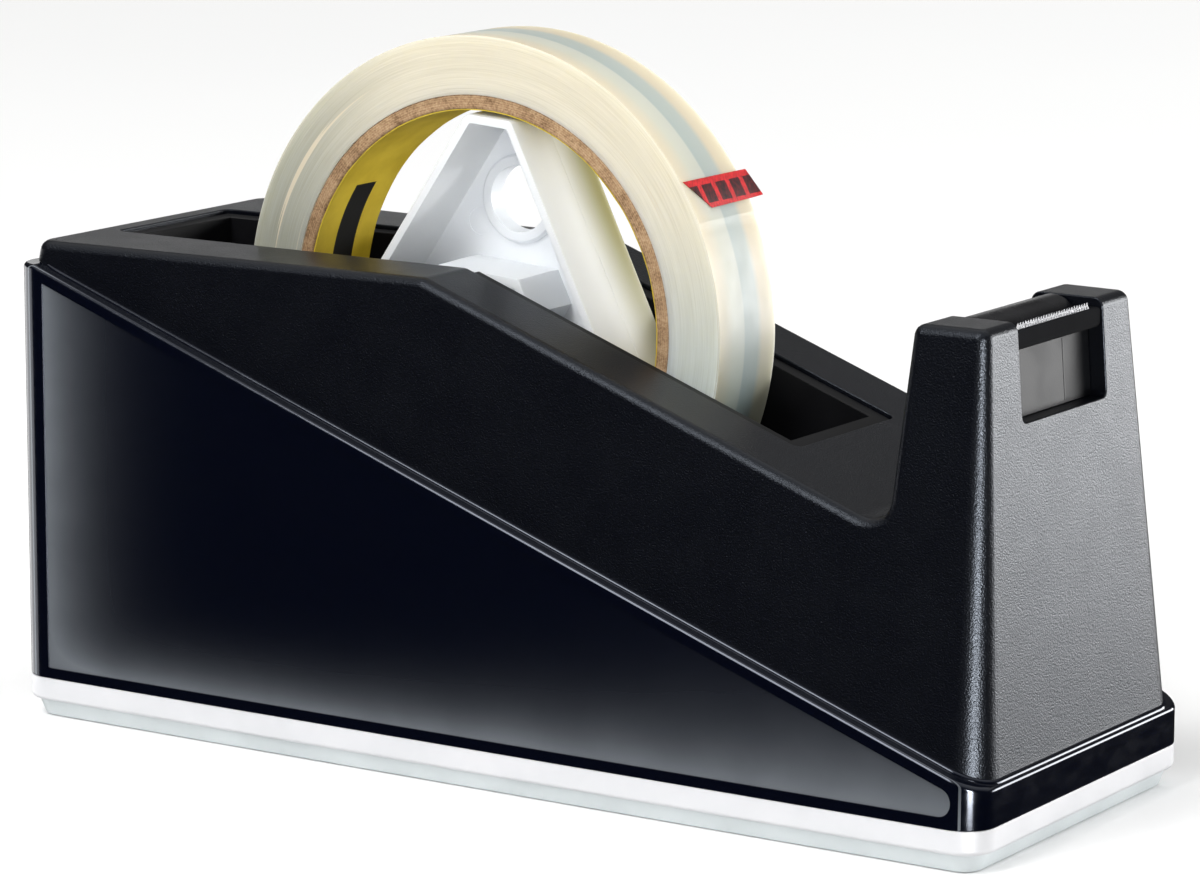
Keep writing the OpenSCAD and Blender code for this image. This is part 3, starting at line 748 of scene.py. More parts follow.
def printed_red():
    """Red film with a fine weave and plain dark blocks."""
    paint = Paint("tab_red", Roughness=0.35, Specular_IOR_Level=0.45)
    pitch, half_share, row_at, row_half, weave_pitch = 4.6, 0.36, 30.0, 1.75, 0.55
    _, y, _ = paint.axes()
    along = paint.math("MULTIPLY", roll_angle(paint), ROLL_R * MM)
    cell = paint.off(paint.math("FRACT", paint.math("DIVIDE", y, pitch * MM)), 0.5)
    wide = paint.math("LESS_THAN", cell, half_share)
    high = paint.math("LESS_THAN", paint.off(along, math.radians(row_at) * ROLL_R * MM), row_half * MM)
    block = paint.math("MULTIPLY", wide, high)
    rate = 2 * math.pi / (weave_pitch * MM)
    waves = [paint.math("SINE", paint.math("MULTIPLY", axis, rate)) for axis in (along, y)]
    grid = paint.math("MULTIPLY", waves[0], waves[1])
    weave = paint.math("MULTIPLY_ADD", grid, 0.25, paint.noise(0.8, 3.0))
    red = paint.ramp(weave, (0.3, (0.30, 0.006, 0.01)), (0.55, (0.66, 0.022, 0.025)))
    dark = paint.ramp(weave, (0.35, (0.006, 0.001, 0.002)), (0.8, (0.16, 0.008, 0.012)))
    paint.set("Base Color", paint.mix(block, red, dark))
    paint.set("Normal", paint.bump(weave, 0.2, 0.03))
    return paint.material


def pale_floor():
    """A plain pale floor."""
    paint = Paint("floor", Roughness=0.9, Specular_IOR_Level=0.1)
    cloud = paint.noise(400.0, 2.0)
    paint.set("Base Color", paint.ramp(cloud, (0.2, (0.91, 0.91, 0.912)), (0.8, (0.93, 0.93, 0.93))))
    return paint.material


MATTE = eroded_black()
GLOSS = gloss_black()
TRAY = satin_plastic("tray_white", (0.68, 0.68, 0.70), (0.64, 0.645, 0.665), 0.34, 0.8, 0.02, see=0.1)
PAD = satin_plastic("pad_white", (0.62, 0.66, 0.67), (0.56, 0.60, 0.61), 0.6, 0.5, 0.06, 0.3)
LINER = satin_plastic("liner_black", (0.004, 0.004, 0.005), (0.002, 0.002, 0.0025), 0.42, 0.5, 0.03, 0.16)
NOSE_Z = BLADE_LOW.z - 0.6
HOLDER = satin_plastic(
    "holder_black", (0.004, 0.0045, 0.006), (0.002, 0.002, 0.003), 0.36, 0.4, 0.02, 0.085, dull_above=NOSE_Z
)
ROLLER = satin_plastic("roller_black", (0.005, 0.005, 0.007), (0.003, 0.003, 0.004), 0.22, 0.6, 0.02, 0.4)
HUB = hub_white()
IRON = cast_iron()
BLADE = ground_steel("blade_steel", (0.58, 0.58, 0.60), 0.2, (1, 1, 0.1))
FASTENER = ground_steel("fastener_steel", (0.60, 0.60, 0.61), 0.3, (1, 1, 1))
AXLE = ground_steel("axle_steel", (0.66, 0.66, 0.67), 0.2, (1, 1, 0.1))
BOARD = kraft_board()
LABEL = yellow_paper()
FILM = wound_film()
TAB = printed_red()


# ---- base


def base_tray():
    """White tray: its wall is rounded below and just eased above."""
    body = slab(footprint(0, CORNER_R, 10), PAD_HIGH.z, TRAY_Z)
    round_edges(body, 0.9, 4, lambda m, e: m.z < PAD_HIGH.z + 0.1)
    round_edges(body, 0.18, 2, lambda m, e: m.z > TRAY_Z - 0.1)
    return less(body, slab(footprint(LOWER_WALL, CORNER_R - LOWER_WALL), PAD_HIGH.z + 2, TRAY_Z + 5))


def non_slip_base():
    """Pale sheet under the tray: drafted sides, a rounded foot and pockets for the fasteners."""
    inset = PAD_LOW.x - REAR_X
    steps = ((inset + 1.9, 0.0), (inset + 1.25, 0.25), (inset + 0.95, 0.9), (inset, PAD_HIGH.z))
    rings = []
    for t, z in steps:
        rings.append([(x, y, z) for x, y in footprint(t, CORNER_R - t, 10)])
    body = loft(rings)
    for node in ("base_screws", "case_bolts"):
        for low, high in solid_boxes(node):
            centre = ((low.x + high.x) / 2, (low.y + high.y) / 2)
            radius = (high.x - low.x) / 2 + HEAD_GAP
            body = less(body, slab(arc(centre, radius, 0, 345, 23), -1, PAD_HIGH.z + 1))
    return body


def fastener(x, y, z, radius, head_radius, length):
    """A cross-recess screw, head down."""
    turns = 28
    levels = (
        (head_radius - 0.5, z - HEAD_H),
        (head_radius - 0.12, z - HEAD_H + 0.2),
        (head_radius, z - HEAD_H + 0.6),
        (head_radius, z),
        (radius, z),
        (radius, z + length - radius),
        (radius * 0.35, z + length),
    )
    rings = []
    for r, level in levels:
        circle = arc((x, y), r, 0, 360 - 360 / turns, turns - 1)
        rings.append([(px, py, level) for px, py in circle])
    bm = loft(rings)
    arm, slot_w = head_radius * 0.55, head_radius * 0.2
    for half_x, half_y in ((arm, slot_w), (slot_w, arm)):
        corners = round_rect((x - half_x, y - half_y), (x + half_x, y + half_y), slot_w * 0.4, 2)
        bm = less(bm, slab(corners, z - HEAD_H - 1, z - HEAD_H + 0.9))
    return bm


def merged(parts):
    """Several separate solids as one mesh."""
    bm = bmesh.new()
    for part in parts:
        mesh = bpy.data.meshes.new("work")
        part.to_mesh(mesh)
        part.free()
        bm.from_mesh(mesh)
        bpy.data.meshes.remove(mesh)
    return bm


def solid_boxes(node):
    """Lowest and highest corner of each separate solid of a CAD node, in millimetres."""
    bm = bmesh.new()
    bm.from_mesh(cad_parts[node].data)
    bmesh.ops.remove_doubles(bm, verts=bm.verts, dist=1e-6)
    seen, found = set(), []
    for start in bm.verts:
        if start in seen:
            continue
        group, queue = [], [start]
        seen.add(start)
        while queue:
            vert = queue.pop()
            group.append(vert.co.copy())
            for edge in vert.link_edges:
                other = edge.other_vert(vert)
                if other not in seen:
                    seen.add(other)
                    queue.append(other)
        low = Vector([min(p[i] for p in group) for i in range(3)]) / MM
        high = Vector([max(p[i] for p in group) for i in range(3)]) / MM
        found.append((low, high))
    bm.free()
    return found


def fasteners(node, radius):
    """The screws or bolts of one node, each with its own head."""
    made = []
    for low, high in solid_boxes(node):
        x, y = (low.x + high.x) / 2, (low.y + high.y) / 2
        head = (high.x - low.x) / 2
        made.append(fastener(x, y, low.z + HEAD_H, radius, head, high.z - low.z - HEAD_H))
    return merged(made)


def panel_outline():
    """The side panel, with its front drawn out to a round tip."""
    low = TRAY_Z + 2.0
    rear = REAR_X + PANEL_REAR
    both = 1 + 1 / math.cos(PART_ANGLE)
    reach = PART_REAR_X + (PART_REAR_Z - PANEL_GAP - low) / PART_SLOPE
    tip_r = (reach - FRONT_X + PANEL_TIP) / (both / PART_SLOPE - 1)
    tip = (FRONT_X - PANEL_TIP - tip_r, low + tip_r)
    front = arc(tip, tip_r, -90, 90 - math.degrees(PART_ANGLE), 14)
    return front + [(rear, part_z(rear) - PANEL_GAP), (rear, low)]


def lip_bead():
    """Fine bead on the lower shell, close round the upper shell's foot."""
    half, front = SIDE_HALF, face_x(PART_FRONT_Z)
    levels = [(BEAD_W, -0.8)]
    for a in (0, 0.35, 0.7, 1.05, 1.4):
        levels.append((BEAD_W - BEAD_W * (1 - math.cos(a)), BEAD_W * math.sin(a)))
    solids = []
    for rings in (levels, [(-0.3, -2.0), (-0.3, 2.0)]):
        made = []
        for out, rise in rings:
            low, high = (UPPER_REAR_X - out, -half - out), (front + out, half + out)
            outline = round_rect(low, high, CORNER_FOOT_R + out, 10)
            made.append([(x, y, part_z(x) + rise) for x, y in outline])
        solids.append(loft(made))
    return less(*solids)


def lower_shell():
    """Polished lower shell: rounded upper lip, recessed side panels, hollow inside."""
    body = slab(footprint(0, CORNER_R, 12), TRAY_Z, PART_REAR_Z + 10)
    above = [
        (FRONT_X + 5, PART_FRONT_Z),
        (PART_FRONT_X, PART_FRONT_Z),
        (PART_REAR_X, PART_REAR_Z),
        (REAR_X - 5, PART_REAR_Z),
        (REAR_X - 5, PART_REAR_Z + 30),
        (FRONT_X + 5, PART_REAR_Z + 30),
    ]
    body = less(body, prism(above, HALF_W + 5))
    round_edges(body, LIP_R, 6, lambda m, e: m.z > TRAY_Z + 1, clamp=False)
    round_edges(body, 0.25, 2, lambda m, e: m.z < TRAY_Z + 0.2)
    body = less(body, slab(footprint(LOWER_WALL, CORNER_R - LOWER_WALL), TRAY_Z - 5, PART_REAR_Z + 30))
    body = plus(body, lip_bead())
    for side in (-1, 1):
        cutter = prism(panel_outline(), 2.0)
        moved(cutter, Matrix.Translation((0, side * (HALF_W + 2.0 - PANEL_DEPTH), 0)))
        body = less(body, cutter)

    def panel_edge(middle, edge):
        on_floor = abs(abs(middle.y) - (HALF_W - PANEL_DEPTH)) < 0.01
        on_side = abs(abs(middle.y) - HALF_W) < 0.01
        within = REAR_X + 6.5 < middle.x < FRONT_X - 5 and TRAY_Z + 1.5 < middle.z < part_z(middle.x) - 1.5
        return on_floor or (on_side and within)

    return round_edges(body, 0.16, 2, panel_edge)


# ---- upper shell


def post_back(z):
    """Rear face of the post."""
    return face_x(POST_Z) - POST_TOP_L - math.tan(POST_BACK_ANGLE) * (POST_Z - z)


def valley_arc(steps=12):
    """The round between the deck and the post's rear face."""
    slope = math.tan(DECK_ANGLE)
    lean = math.tan(POST_BACK_ANGLE)
    a = RIM_Z + slope * RIM_FRONT_X
    b = post_back(POST_Z) - lean * POST_Z
    z = (a - slope * b) / (1 + slope * lean)
    x = b + lean * z
    turn = math.pi / 2 - POST_BACK_ANGLE - DECK_ANGLE
    back = VALLEY_R * math.tan(turn / 2)
    start = Vector((x - back * math.cos(DECK_ANGLE), z + back * math.sin(DECK_ANGLE)))
    middle = start + VALLEY_R * Vector((math.sin(DECK_ANGLE), math.cos(DECK_ANGLE)))
    first = -90 - math.degrees(DECK_ANGLE)
    return arc(middle, VALLEY_R, first, first + math.degrees(turn), steps)


def rim_fold():
    """The soft fold between the deck and the rim."""
    radius = 3.0
    centre = (RIM_FRONT_X - radius * math.tan(DECK_ANGLE / 2), RIM_Z - radius)
    return arc(centre, radius, 90 - math.degrees(DECK_ANGLE), 90, 4)


def corner_cutter(side):
    """What is cut from a front corner to leave a round that tightens from the foot to the top."""
    lean_back = PART_SLOPE * math.cos(PART_ANGLE) * SIDE_LEAN
    inward = Vector((0, -side))
    backward = Vector((-1, side * lean_back)).normalized()
    outward = Vector((1, 0))
    sideways = Vector((backward.y, -backward.x)) * side
    rings = []
    for z, radius in ((PART_FRONT_Z - 12, CORNER_FOOT_R + 0.6), (POST_Z + 12, CORNER_TOP_R - 0.6)):
        x = face_x(z)
        corner = Vector((x, side * side_half(x, z)))
        reach = radius / math.tan(inward.angle(backward) / 2)
        points = fillet(corner, inward, backward, radius, 12)
        points += [corner + backward * reach + sideways * 3, corner + (outward + sideways) * 3]
        points.append(corner + inward * reach + outward * 3)
        rings.append([(p.x, p.y, z) for p in points])
    return loft(rings)


def upper_solid():
    """The upper shell's outer form, with all its outer edges rounded."""
    outline = [
        (UPPER_REAR_X, PART_REAR_Z),
        (PART_REAR_X, PART_REAR_Z),
        (face_x(PART_FRONT_Z), part_z(face_x(PART_FRONT_Z))),
        (face_x(POST_Z), POST_Z),
        (post_back(POST_Z), POST_Z),
    ]
    outline += reversed(valley_arc())
    outline += rim_fold()
    outline += [(UPPER_REAR_X, RIM_Z)]
    body = less(prism(outline, side_half), corner_cutter(-1), corner_cutter(1))

    def rear_corner(middle, edge):
        return middle.x < UPPER_REAR_X + 0.5 and abs(middle.y) > 20 and middle.z > PART_REAR_Z + 1

    def on_top(middle, edge):
        return all(face.normal.z > -0.35 for face in edge.link_faces) and middle.z > part_z(middle.x) + 0.6

    round_edges(body, 4.0, 8, rear_corner, clamp=False)
    round_edges(body, TOP_EDGE_R, 6, on_top, clamp=False)
    round_edges(body, 0.5, 4, lambda m, e: m.z < part_z(m.x) + 0.3, clamp=False)
    return body


def upper_room():
    """The room inside the upper shell."""
    wall = UPPER_WALL
    top_z = POST_Z - wall
    front = wall / math.cos(math.atan(FRONT_LEAN))
    drop = wall / math.cos(DECK_ANGLE)
    valley = valley_arc(2)[1]
    outline = [
        (UPPER_REAR_X + wall, PART_REAR_Z - 5),
        (PART_REAR_X, PART_REAR_Z - 5),
        (face_x(5) - front, part_z(FRONT_X) - 5),
        (face_x(top_z) - front, top_z),
        (post_back(top_z) + wall, top_z),
        (valley[0] + 2.5, valley[1] - 3.2),
        (RIM_FRONT_X, RIM_Z - drop),
        (UPPER_REAR_X + wall, RIM_Z - wall),
    ]
    return prism(outline, lambda x, z: side_half(x, z, wall))


def mouth(half, inset, drop, height=60.0):
    """The mouth's cutter: round corners in plan, and a floor that follows the rim and the deck."""
    low = (MOUTH_REAR_X + inset, -half)
    high = (MOUTH_FRONT_X - inset, half)
    cutter = slab(round_rect(low, high, 1.6, 4), 0, RIM_Z + height)
    floor = [
        (REAR_X - 10, RIM_Z - drop),
        (RIM_FRONT_X, RIM_Z - drop),
        (FRONT_X + 10, deck_z(FRONT_X + 10) - drop),
        (FRONT_X + 10, -5),
        (REAR_X - 10, -5),
    ]
    return less(cutter, prism(floor, 60.0))


def notch_cutters():
    """The pocket behind the front face, and its opening to the rear higher up."""
    corner = 1.3
    turn = Matrix(((0, 0, 1, 0), (1, 0, 0, 0), (0, 1, 0, 0), (0, 0, 0, 1)))
    rear_x = post_back(NOTCH_Z)
    cutters = []
    for floor_z, start_x in ((NOTCH_Z, rear_x + UPPER_WALL), (NOTCH_REAR_Z, rear_x - 12)):
        outline = round_rect((-NOTCH_HALF, floor_z), (NOTCH_HALF, POST_Z + 20), corner, 5)
        cutters.append(moved(slab(outline, start_x, FRONT_X + 20), turn))
    return cutters


def notch_walls():
    """Walls round the notch, inside the post."""
    wall = UPPER_WALL
    low = NOTCH_Z - wall
    outline = [
        (post_back(low) + 1, low),
        (face_x(low) - 1, low),
        (face_x(POST_Z) - 1, POST_Z - 1),
        (post_back(POST_Z) + 1, POST_Z - 1),
    ]
    return prism(outline, NOTCH_HALF + wall)


def upper_shell():
    """Grained upper shell."""
    body = less(upper_solid(), upper_room())
    body = plus(body, notch_walls())
    body = less(body, mouth(MOUTH_HALF, 0.0, LIP_DROP + LIP_T))
    body = less(body, mouth(LINER_HALF + 0.1, 1.4, 20.0))
    body = less(body, *notch_cutters())
    low = (POCKET_REAR_X, POCKET_LOW_Y)
    high = (POCKET_REAR_X + POCKET_L, POCKET_HIGH_Y)
    body = less(body, slab(round_rect(low, high, 1.8, 5), RIM_Z - POCKET_H, RIM_Z + 5))

    def cut_edge(middle, edge):
        x, y, z = middle
        in_mouth = abs(y) < MOUTH_HALF + 0.1 and z > deck_z(x) - 0.3 and x < MOUTH_FRONT_X + 1
        in_notch = abs(y) < NOTCH_HALF + 0.1 and x > post_back(z) - 1 and z > NOTCH_Z - 1
        in_pocket = POCKET_LOW_Y - 1 < y < POCKET_HIGH_Y + 1 and x < high[0] + 1 and z > RIM_Z - 0.2
        return in_mouth or in_notch or in_pocket

    return knit(round_edges(body, MOUTH_EDGE_R, 3, cut_edge, clamp=False))


def well_liner():
    """The tub in the mouth, with an eased lip."""

    def lip(middle, edge):
        return middle.z > deck_z(middle.x) - 1.2 and abs(middle.y) < MOUTH_HALF + 0.5

    return round_edges(from_cad("well_liner"), 0.3, 3, lip)


def ballast_weight():
    """The cast weight, with round edges."""
    return round_edges(from_cad("ballast_weight"), 1.2, 3, lambda m, e: abs(m.y) > 29)


# ---- cutter head


def cutter_holder():
    """Insert in the notch, with eased edges and a fine moulding line down its panel."""
    body = from_cad("cutter_holder")
    round_edges(body, 0.22, 2)
    panel_low, panel_high = NOTCH_Z + 0.6, BLADE_LOW.z - 1.2
    line_y, line_half = 5.6, 0.2
    back, proud = 3.0, 0.05
    outline = [
        (face_x(panel_low) - back - 0.4, panel_low),
        (face_x(panel_low) - back + proud, panel_low),
        (face_x(panel_high) - back + proud, panel_high),
        (face_x(panel_high) - back - 0.4, panel_high),
    ]
    line = moved(prism(outline, line_half), Matrix.Translation((0, line_y, 0)))
    return plus(body, line)


def cutter_blade():
    """Serrated blade: a bar ground back below its teeth, which stand a little apart and lean."""
    teeth, tooth_h, share, drop, tip_share = 28, 1.0, 0.6, 0.45, 0.12
    low, high = BLADE_LOW, BLADE_HIGH - Vector((0, 0, drop))
    pitch = (high.y - low.y) / teeth
    root = high.z - tooth_h
    back, front = low.x, high.x
    rings = []
    for z, x in ((low.z, front - 0.32), (root - 0.5, front - 0.3), (root, front)):
        rings.append([(back, low.y, z), (x, low.y, z), (x, high.y, z), (back, high.y, z)])
    parts = [loft(rings)]
    for i in range(teeth):
        y = low.y + (i + 0.2) * pitch
        end = y + pitch * share
        belly = y + pitch * share * 0.6
        foot = [(back, y), (front - 0.05, y), (front, belly), (front - 0.3, end), (back, end)]
        tip_x, tip_y = back + 0.15, end
        point = []
        for px, py in foot:
            point.append((tip_x + tip_share * (px - tip_x), tip_y + tip_share * (py - tip_y), high.z))
        parts.append(loft([[(px, py, root - 0.02) for px, py in foot], point]))
    return merged(parts)


def guide_roller():
    """Smooth roller with eased ends and a bore for its pin."""
    half, ease, bore = ROLLER_HIGH.y, 0.5, PIN_R + BORE_GAP
    outer = arc((half - ease, ROLLER_R - ease), ease, 0, 90, 4)
    right = [(r, y) for y, r in outer]
    left = [(r, -y) for r, y in reversed(right)]
    return lathe(right + left + [(bore, -half), (bore, half)], full_turn(96), centre=ROLLER_AT)


def chamfered_rod(node, centre, ease=0.4):
    """A turned rod along Y with chamfered ends."""
    low, high = span(node)
    return rod(eased_ends(low.y, high.y, (high.z - low.z) / 2, ease), centre)


# ---- reel


def hub_outline(inset, corner=1.2, steps=4):
    """The hub's triangle with its corners cut off, its first corner along the first axis."""
    flat = HUB_FLAT - inset
    tip = HUB_CORNER_R * math.cos(math.radians(8)) - inset
    half = (flat - tip / 2) / math.sin(math.radians(60))
    sharp = []
    for lobe in LOBES:
        c, s = math.cos(math.radians(lobe)), math.sin(math.radians(lobe))
        for side in (-half, half):
            sharp.append(Vector((tip * c - side * s, tip * s + side * c)))
    return rounded(sharp, max(0.4, corner - inset * 0.3), steps)


def rounded(corners, radius, steps):
    """A closed outline with its corners rounded."""
    points = []
    for i, corner in enumerate(corners):
        before = (corners[i - 1] - corner).normalized()
        after = (corners[(i + 1) % len(corners)] - corner).normalized()
        points += [(p.x, p.y) for p in fillet(corner, before, after, radius, steps)]
    return points


def six_sides(radius, flat, steps=1):
    """An outline with three long flats and a short one between each two."""
    half = math.degrees(math.acos(flat / radius))
    points = []
    for lobe in LOBES:
        points += arc((0, 0), radius, lobe + half, lobe + 120 - half, steps)
    return points


def hub_loft(levels, outline):
    """A solid along Y in the hub's place, from pairs of Y and what the outline takes."""
    return loft([ring(outline(value), y, HUB_TURN) for y, value in levels])


def hub_disc(radius, u, w, low, high, steps=32, ease=0.0):
    """A round solid along Y at a place on the hub."""
    levels = eased_ends(low, high, radius, ease) if ease else ((low, radius), (high, radius))
    turns = 360 - 360 / steps
    return loft([ring(arc((u, w), r, 0, turns, steps - 1), y, HUB_TURN) for y, r in levels])


def hub_frame():
    """Three-cornered hub: drafted sides, a deep pocket on each side of its web, ringed holes and a drum."""
    half, draft, line = HUB_HALF_W, 0.3, 0.06
    web_near, web_far = WEB_Y - WEB_T / 2, WEB_Y + WEB_T / 2
    centres = []
    for lobe in LOBES:
        turn = math.radians(lobe)
        centres.append((WEB_HOLE_AT * math.cos(turn), WEB_HOLE_AT * math.sin(turn)))
    insets = ((-half, draft), (0, 0.0), (line, -line), (0.3, -line), (0.3 + line, 0.0), (half, draft))
    body = hub_loft(insets, hub_outline)
    body = less(body, hub_loft(((-half - 1, 1.75), (web_near, 2.5)), hub_outline))
    body = less(body, hub_loft(((web_far, 2.4), (half + 1, 2.0)), hub_outline))
    for u, w in centres:
        body = plus(body, hub_disc(WEB_HOLE_R + WEB_RING_W, u, w, web_near - 1, web_far + 1, 48, 0.45))
    drum = HUB_HIGH.y
    levels = ((-drum, -0.25), (0, 0.0), (drum, -0.25))
    body = plus(body, hub_loft(levels, lambda t: six_sides(DRUM_R + t, DRUM_FLAT + t)))
    for lobe, (u, w) in zip(LOBES, centres):
        body = less(body, hub_disc(WEB_HOLE_R, u, w, -20, 20, 48))
        mark = Matrix.Rotation(math.radians(lobe + 30), 2) @ Vector((MARK_AT, 0))
        body = less(body, hub_disc(MARK_R, mark.x, mark.y, web_near - 2, web_near + MARK_H, 24))
    fit = 0.14
    levels = ((-20, fit), (20, fit))
    body = less(body, hub_loft(levels, lambda t: six_sides(SPINDLE_R + t, SPINDLE_FLAT + t)))
    return round_edges(body, 0.28, 3, lambda m, e: abs(m.y) > half - 0.2 or abs(m.y - WEB_Y) < 2.2, 25)


def hub_spindle():
    """The spindle in the hub's drum, with eased ends, round shoulders and the axle's bore."""
    half, ease = HUB_HIGH.y - 0.2, 0.22
    body = hub_loft(eased_ends(-half, half, 0, ease), lambda t: six_sides(SPINDLE_R + t, SPINDLE_FLAT + t))
    low, high = span("hub_spindle")
    body = plus(body, rod(eased_ends(low.y, high.y, SHOULDER_R, SHOULDER_EASE), None, 48))
    bore = AXLE_R + BORE_GAP
    return less(body, rod(((-40, bore), (40, bore)), None, 48))


def frayed(size, depth):
    """A shape for lathe() that roughens a ring's edges."""

    def shape(r, y, angle):
        x, _, z = about_axis(r, angle, 0)
        grain = noise.noise(Vector((x, y, z)) / size)
        return r, y + math.copysign(depth, y) * (grain - 0.6)

    return shape


def paper_core():
    """Board core: its ends are slightly furred and its edges crushed round."""
    ease = 0.3
    ends = []
    for side in (1, -1):
        corner = [
            (CORE_IN_R + 0.02, side * (TAPE_HALF - ease)),
            (CORE_IN_R + ease, side * TAPE_HALF),
            (CORE_IN_R + 1.0, side * TAPE_HALF),
            (CORE_IN_R + 1.6, side * TAPE_HALF),
            (CORE_OUT_R - ease, side * TAPE_HALF),
            (CORE_OUT_R, side * (TAPE_HALF - ease)),
        ]
        ends.append(corner if side > 0 else corner[::-1])
    return lathe(ends[0] + ends[1], full_turn(300), frayed(1.1, 0.09))


def core_label():
    """Paper label glued inside the core, cut a little unevenly."""
    half = TAPE_HALF - 0.25
    inner = CORE_IN_R - LABEL_T
    profile = [(CORE_IN_R, half), (CORE_IN_R, -half), (inner, -half), (inner, half)]
    return lathe(profile, full_turn(240), frayed(4.0, 0.18))


def film_edge(r, y, angle):
    """The wound film: layers that stand a little in or out, and one spiral step at the free end."""
    share = (r - CORE_OUT_R) / (ROLL_R - CORE_OUT_R)
    wound = ((angle - TAPE_END) % 360) / 360
    layer = noise.noise(Vector((r * 3.1, 0.3, 7.0))) * 0.03 + noise.noise(Vector((r * 0.7, 5.0, 1.0))) * 0.04
    turn = math.radians(angle)
    drift = noise.noise(Vector((math.cos(turn), math.sin(turn), r * 0.4))) * 0.04
    depth = 1.0 if abs(y) > TAPE_HALF - 0.01 else 0.0
    step = 0.14 * max(0.0, share - 0.9) * 10
    return r - step * wound, y + math.copysign(depth, y) * (layer + drift - 0.08)


def tape_roll():
    """Film wound on the core, with its free end as a step across the outside."""
    layers, ease = 46, 0.14
    radii = [CORE_OUT_R + (ROLL_R - ease - CORE_OUT_R) * i / layers for i in range(layers + 1)]
    profile = [(r, TAPE_HALF) for r in radii]
    across = 10
    profile += [(ROLL_R, (TAPE_HALF - ease) * (1 - 2 * i / across)) for i in range(across + 1)]
    profile += [(r, -TAPE_HALF) for r in reversed(radii)]
    angles = [TAPE_END + 0.12 + 359.88 * i / 300 for i in range(301)]
    return lathe(profile, angles, film_edge)


def between(a, b, share):
    """A pair of numbers part of the way from one pair to another."""
    return [p * (1 - share) + q * share for p, q in zip(a, b)]


def pull_tab():
    """Thin red tab on the film's end, skewed and lifting a little past the roll's edge.

    Its corners are pairs of an angle about the roll's axis and Y.
    """
    upper = ((33.3, -8.8), (33.3, 12.2))
    lower = ((27.0, -3.6), (27.3, 13.4))
    columns, rows, thick = 28, 10, 0.12
    glue = 0.06
    bm = bmesh.new()
    sheets = []
    for lift in (glue, glue + thick):
        grid = []
        for j in range(rows + 1):
            v = j / rows
            line = []
            for i in range(columns + 1):
                u = i / columns
                angle, y = between(between(*lower, u), between(*upper, u), v)
                past = max(0.0, y - TAPE_HALF)
                curl = 0.02 * past * past * (1 - v) - 0.012 * past * past * v
                line.append(bm.verts.new(about_axis(ROLL_R + lift + curl, angle, y)))
            grid.append(line)
        sheets.append(grid)
    for grid in sheets:
        for j in range(rows):
            for i in range(columns):
                bm.faces.new((grid[j][i], grid[j][i + 1], grid[j + 1][i + 1], grid[j + 1][i]))
    border = [(0, i) for i in range(columns)] + [(j, columns) for j in range(rows)]
    border += [(rows, i) for i in range(columns, 0, -1)] + [(j, 0) for j in range(rows, 0, -1)]
    for k, (j, i) in enumerate(border):
        m, n = border[(k + 1) % len(border)]
        bm.faces.new((sheets[0][j][i], sheets[0][m][n], sheets[1][m][n], sheets[1][j][i]))
    return closed(bm)


# ---- camera, light, floor

CAMERA_PLACE = Vector((0.47565, -0.72847, 0.22663))
CAMERA_AZIMUTH = math.radians(32.34)
CAMERA_ELEVATION = math.radians(10.83)
CAMERA_ROLL = math.radians(0.30)


def make_camera():
    """The photograph's viewing angle."""
    data = bpy.data.cameras.new("camera")
    data.lens = 146.59
    data.sensor_width = 36
    data.shift_x = -0.0465
    data.shift_y = -0.0186
    data.clip_start = 0.05
    data.clip_end = 50
    camera = placed("camera", data)
    az, el, roll = CAMERA_AZIMUTH, CAMERA_ELEVATION, CAMERA_ROLL
    back = Vector((math.sin(az) * math.cos(el), -math.cos(az) * math.cos(el), math.sin(el)))
    right = Vector((math.cos(az), math.sin(az), 0))
    up = back.cross(right)
    level_right = right * math.cos(roll) + up * math.sin(roll)
    level_up = up * math.cos(roll) - right * math.sin(roll)
    turn = Matrix((level_right, level_up, back)).transposed()
    camera.matrix_world = Matrix.Translation(CAMERA_PLACE) @ turn.to_4x4()
    bpy.context.scene.camera = camera


def softbox(name, place, size, power, mirrored=True, lights=True, aim=(0, 0, 0.06)):
    """A soft rectangular light. Without mirrored it makes no highlights, without lights only those."""
    data = bpy.data.lights.new(name, "AREA")
    data.shape = "RECTANGLE"
    data.size, data.size_y = size
    data.energy = power
    light = placed(name, data)
    light.location = place
    light.rotation_euler = (Vector(aim) - Vector(place)).to_track_quat("-Z", "Y").to_euler()
    light.visible_camera = False
    light.visible_glossy = mirrored
    light.visible_diffuse = lights


def make_world():
    """Even light from above that falls off towards the horizon."""
    world = bpy.data.worlds.new("studio")
    bpy.context.scene.world = world
    world.use_nodes = True
    tree = world.node_tree
    ground = tree.nodes["Background"]
    place = tree.nodes.new("ShaderNodeTexCoord")
    split = tree.nodes.new("ShaderNodeSeparateXYZ")
    ramp = tree.nodes.new("ShaderNodeValToRGB")
    tree.links.new(place.outputs["Generated"], split.inputs[0])
    tree.links.new(split.outputs[2], ramp.inputs[0])
    tree.links.new(ramp.outputs["Color"], ground.inputs["Color"])
    levels = ((0.0, 0.02), (0.18, 0.03), (0.45, 0.06), (0.68, 0.6), (0.85, 1.0))
    set_stops(ramp.color_ramp, [(position, (value, value, value * 0.99)) for position, value in levels])
    ground.inputs["Strength"].default_value = 1.18


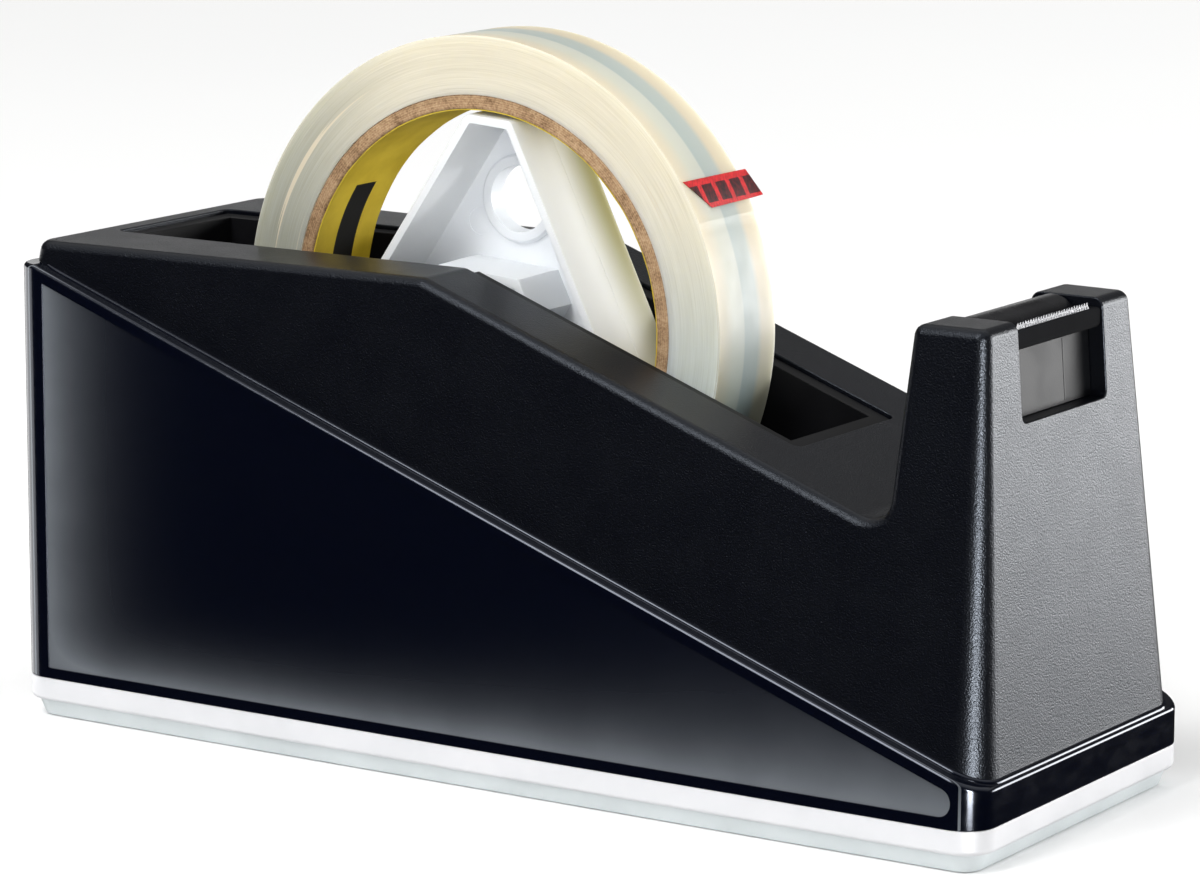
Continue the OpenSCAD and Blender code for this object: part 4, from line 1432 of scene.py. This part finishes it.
def make_floor():
    """A wide plain floor that is hidden from reflections."""
    bm = bmesh.new()
    bmesh.ops.create_grid(bm, x_segments=8, y_segments=8, size=14)
    mesh = bpy.data.meshes.new("floor")
    bm.to_mesh(mesh)
    bm.free()
    floor = placed("floor", mesh)
    floor.data.materials.append(pale_floor())
    floor.visible_glossy = False
    floor.visible_shadow = False


make_camera()
make_world()
make_floor()
softbox("front_right", (1.2, 1.75, 0.14), (1.5, 0.8), 46)
softbox("key", (-0.3, -1.65, 1.75), (0.7, 1.7), 40)
softbox("left", (-1.95, 0.05, -0.25), (2.1, 0.7), 10)
softbox("back", (-1.15, 1.85, 0.36), (1.2, 0.35), 1.3)
softbox("fill", (0.75, -1.55, 0.6), (1.2, 1.0), 10, mirrored=False)
softbox("corner", (1.38, -1.26, -0.15), (0.5, 0.6), 75, lights=False)

# ---- pieces

piece("tray", base_tray(), TRAY, "case", ["base_tray"])
piece("pad", non_slip_base(), PAD, "case", ["non_slip_base"])
piece("lower_case", lower_shell(), GLOSS, "case", ["lower_shell"])
piece("upper_case", upper_shell(), MATTE, "case", ["upper_shell"])

piece("liner", well_liner(), LINER, "case", ["well_liner"])
piece("weight", ballast_weight(), IRON, "case", ["ballast_weight"])
SHANKS = {"case_bolts": BOLT_R, "base_screws": SCREW_R, "liner_screws": SCREW_R, "holder_screws": SCREW_R}
for node_name, radius in SHANKS.items():
    piece(node_name + "_set", fasteners(node_name, radius), FASTENER, "case", [node_name])
piece("holder", cutter_holder(), HOLDER, "case", ["cutter_holder"])
piece("blade", cutter_blade(), BLADE, "case", ["cutter_blade"], smooth=10)
piece("pin", chamfered_rod("roller_pin", ROLLER_AT, 0.25), AXLE, "case", ["roller_pin"])
piece("roller_bar", guide_roller(), ROLLER, "roller", ["guide_roller"])
piece("axle_rod", chamfered_rod("axle", None), AXLE, "axle", ["axle"])
piece("hub", hub_frame(), HUB, "reel", ["hub_frame"])
piece("spindle", hub_spindle(), HUB, "reel", ["hub_spindle"])
piece("core", paper_core(), BOARD, "reel", ["paper_core"])
piece("label", core_label(), LABEL, "reel", ["core_label"])
piece("film", tape_roll(), FILM, "reel", ["tape_roll"])
piece("tab", pull_tab(), TAB, "reel", ["pull_tab"])

bpy.context.scene.view_settings.view_transform = "Standard"
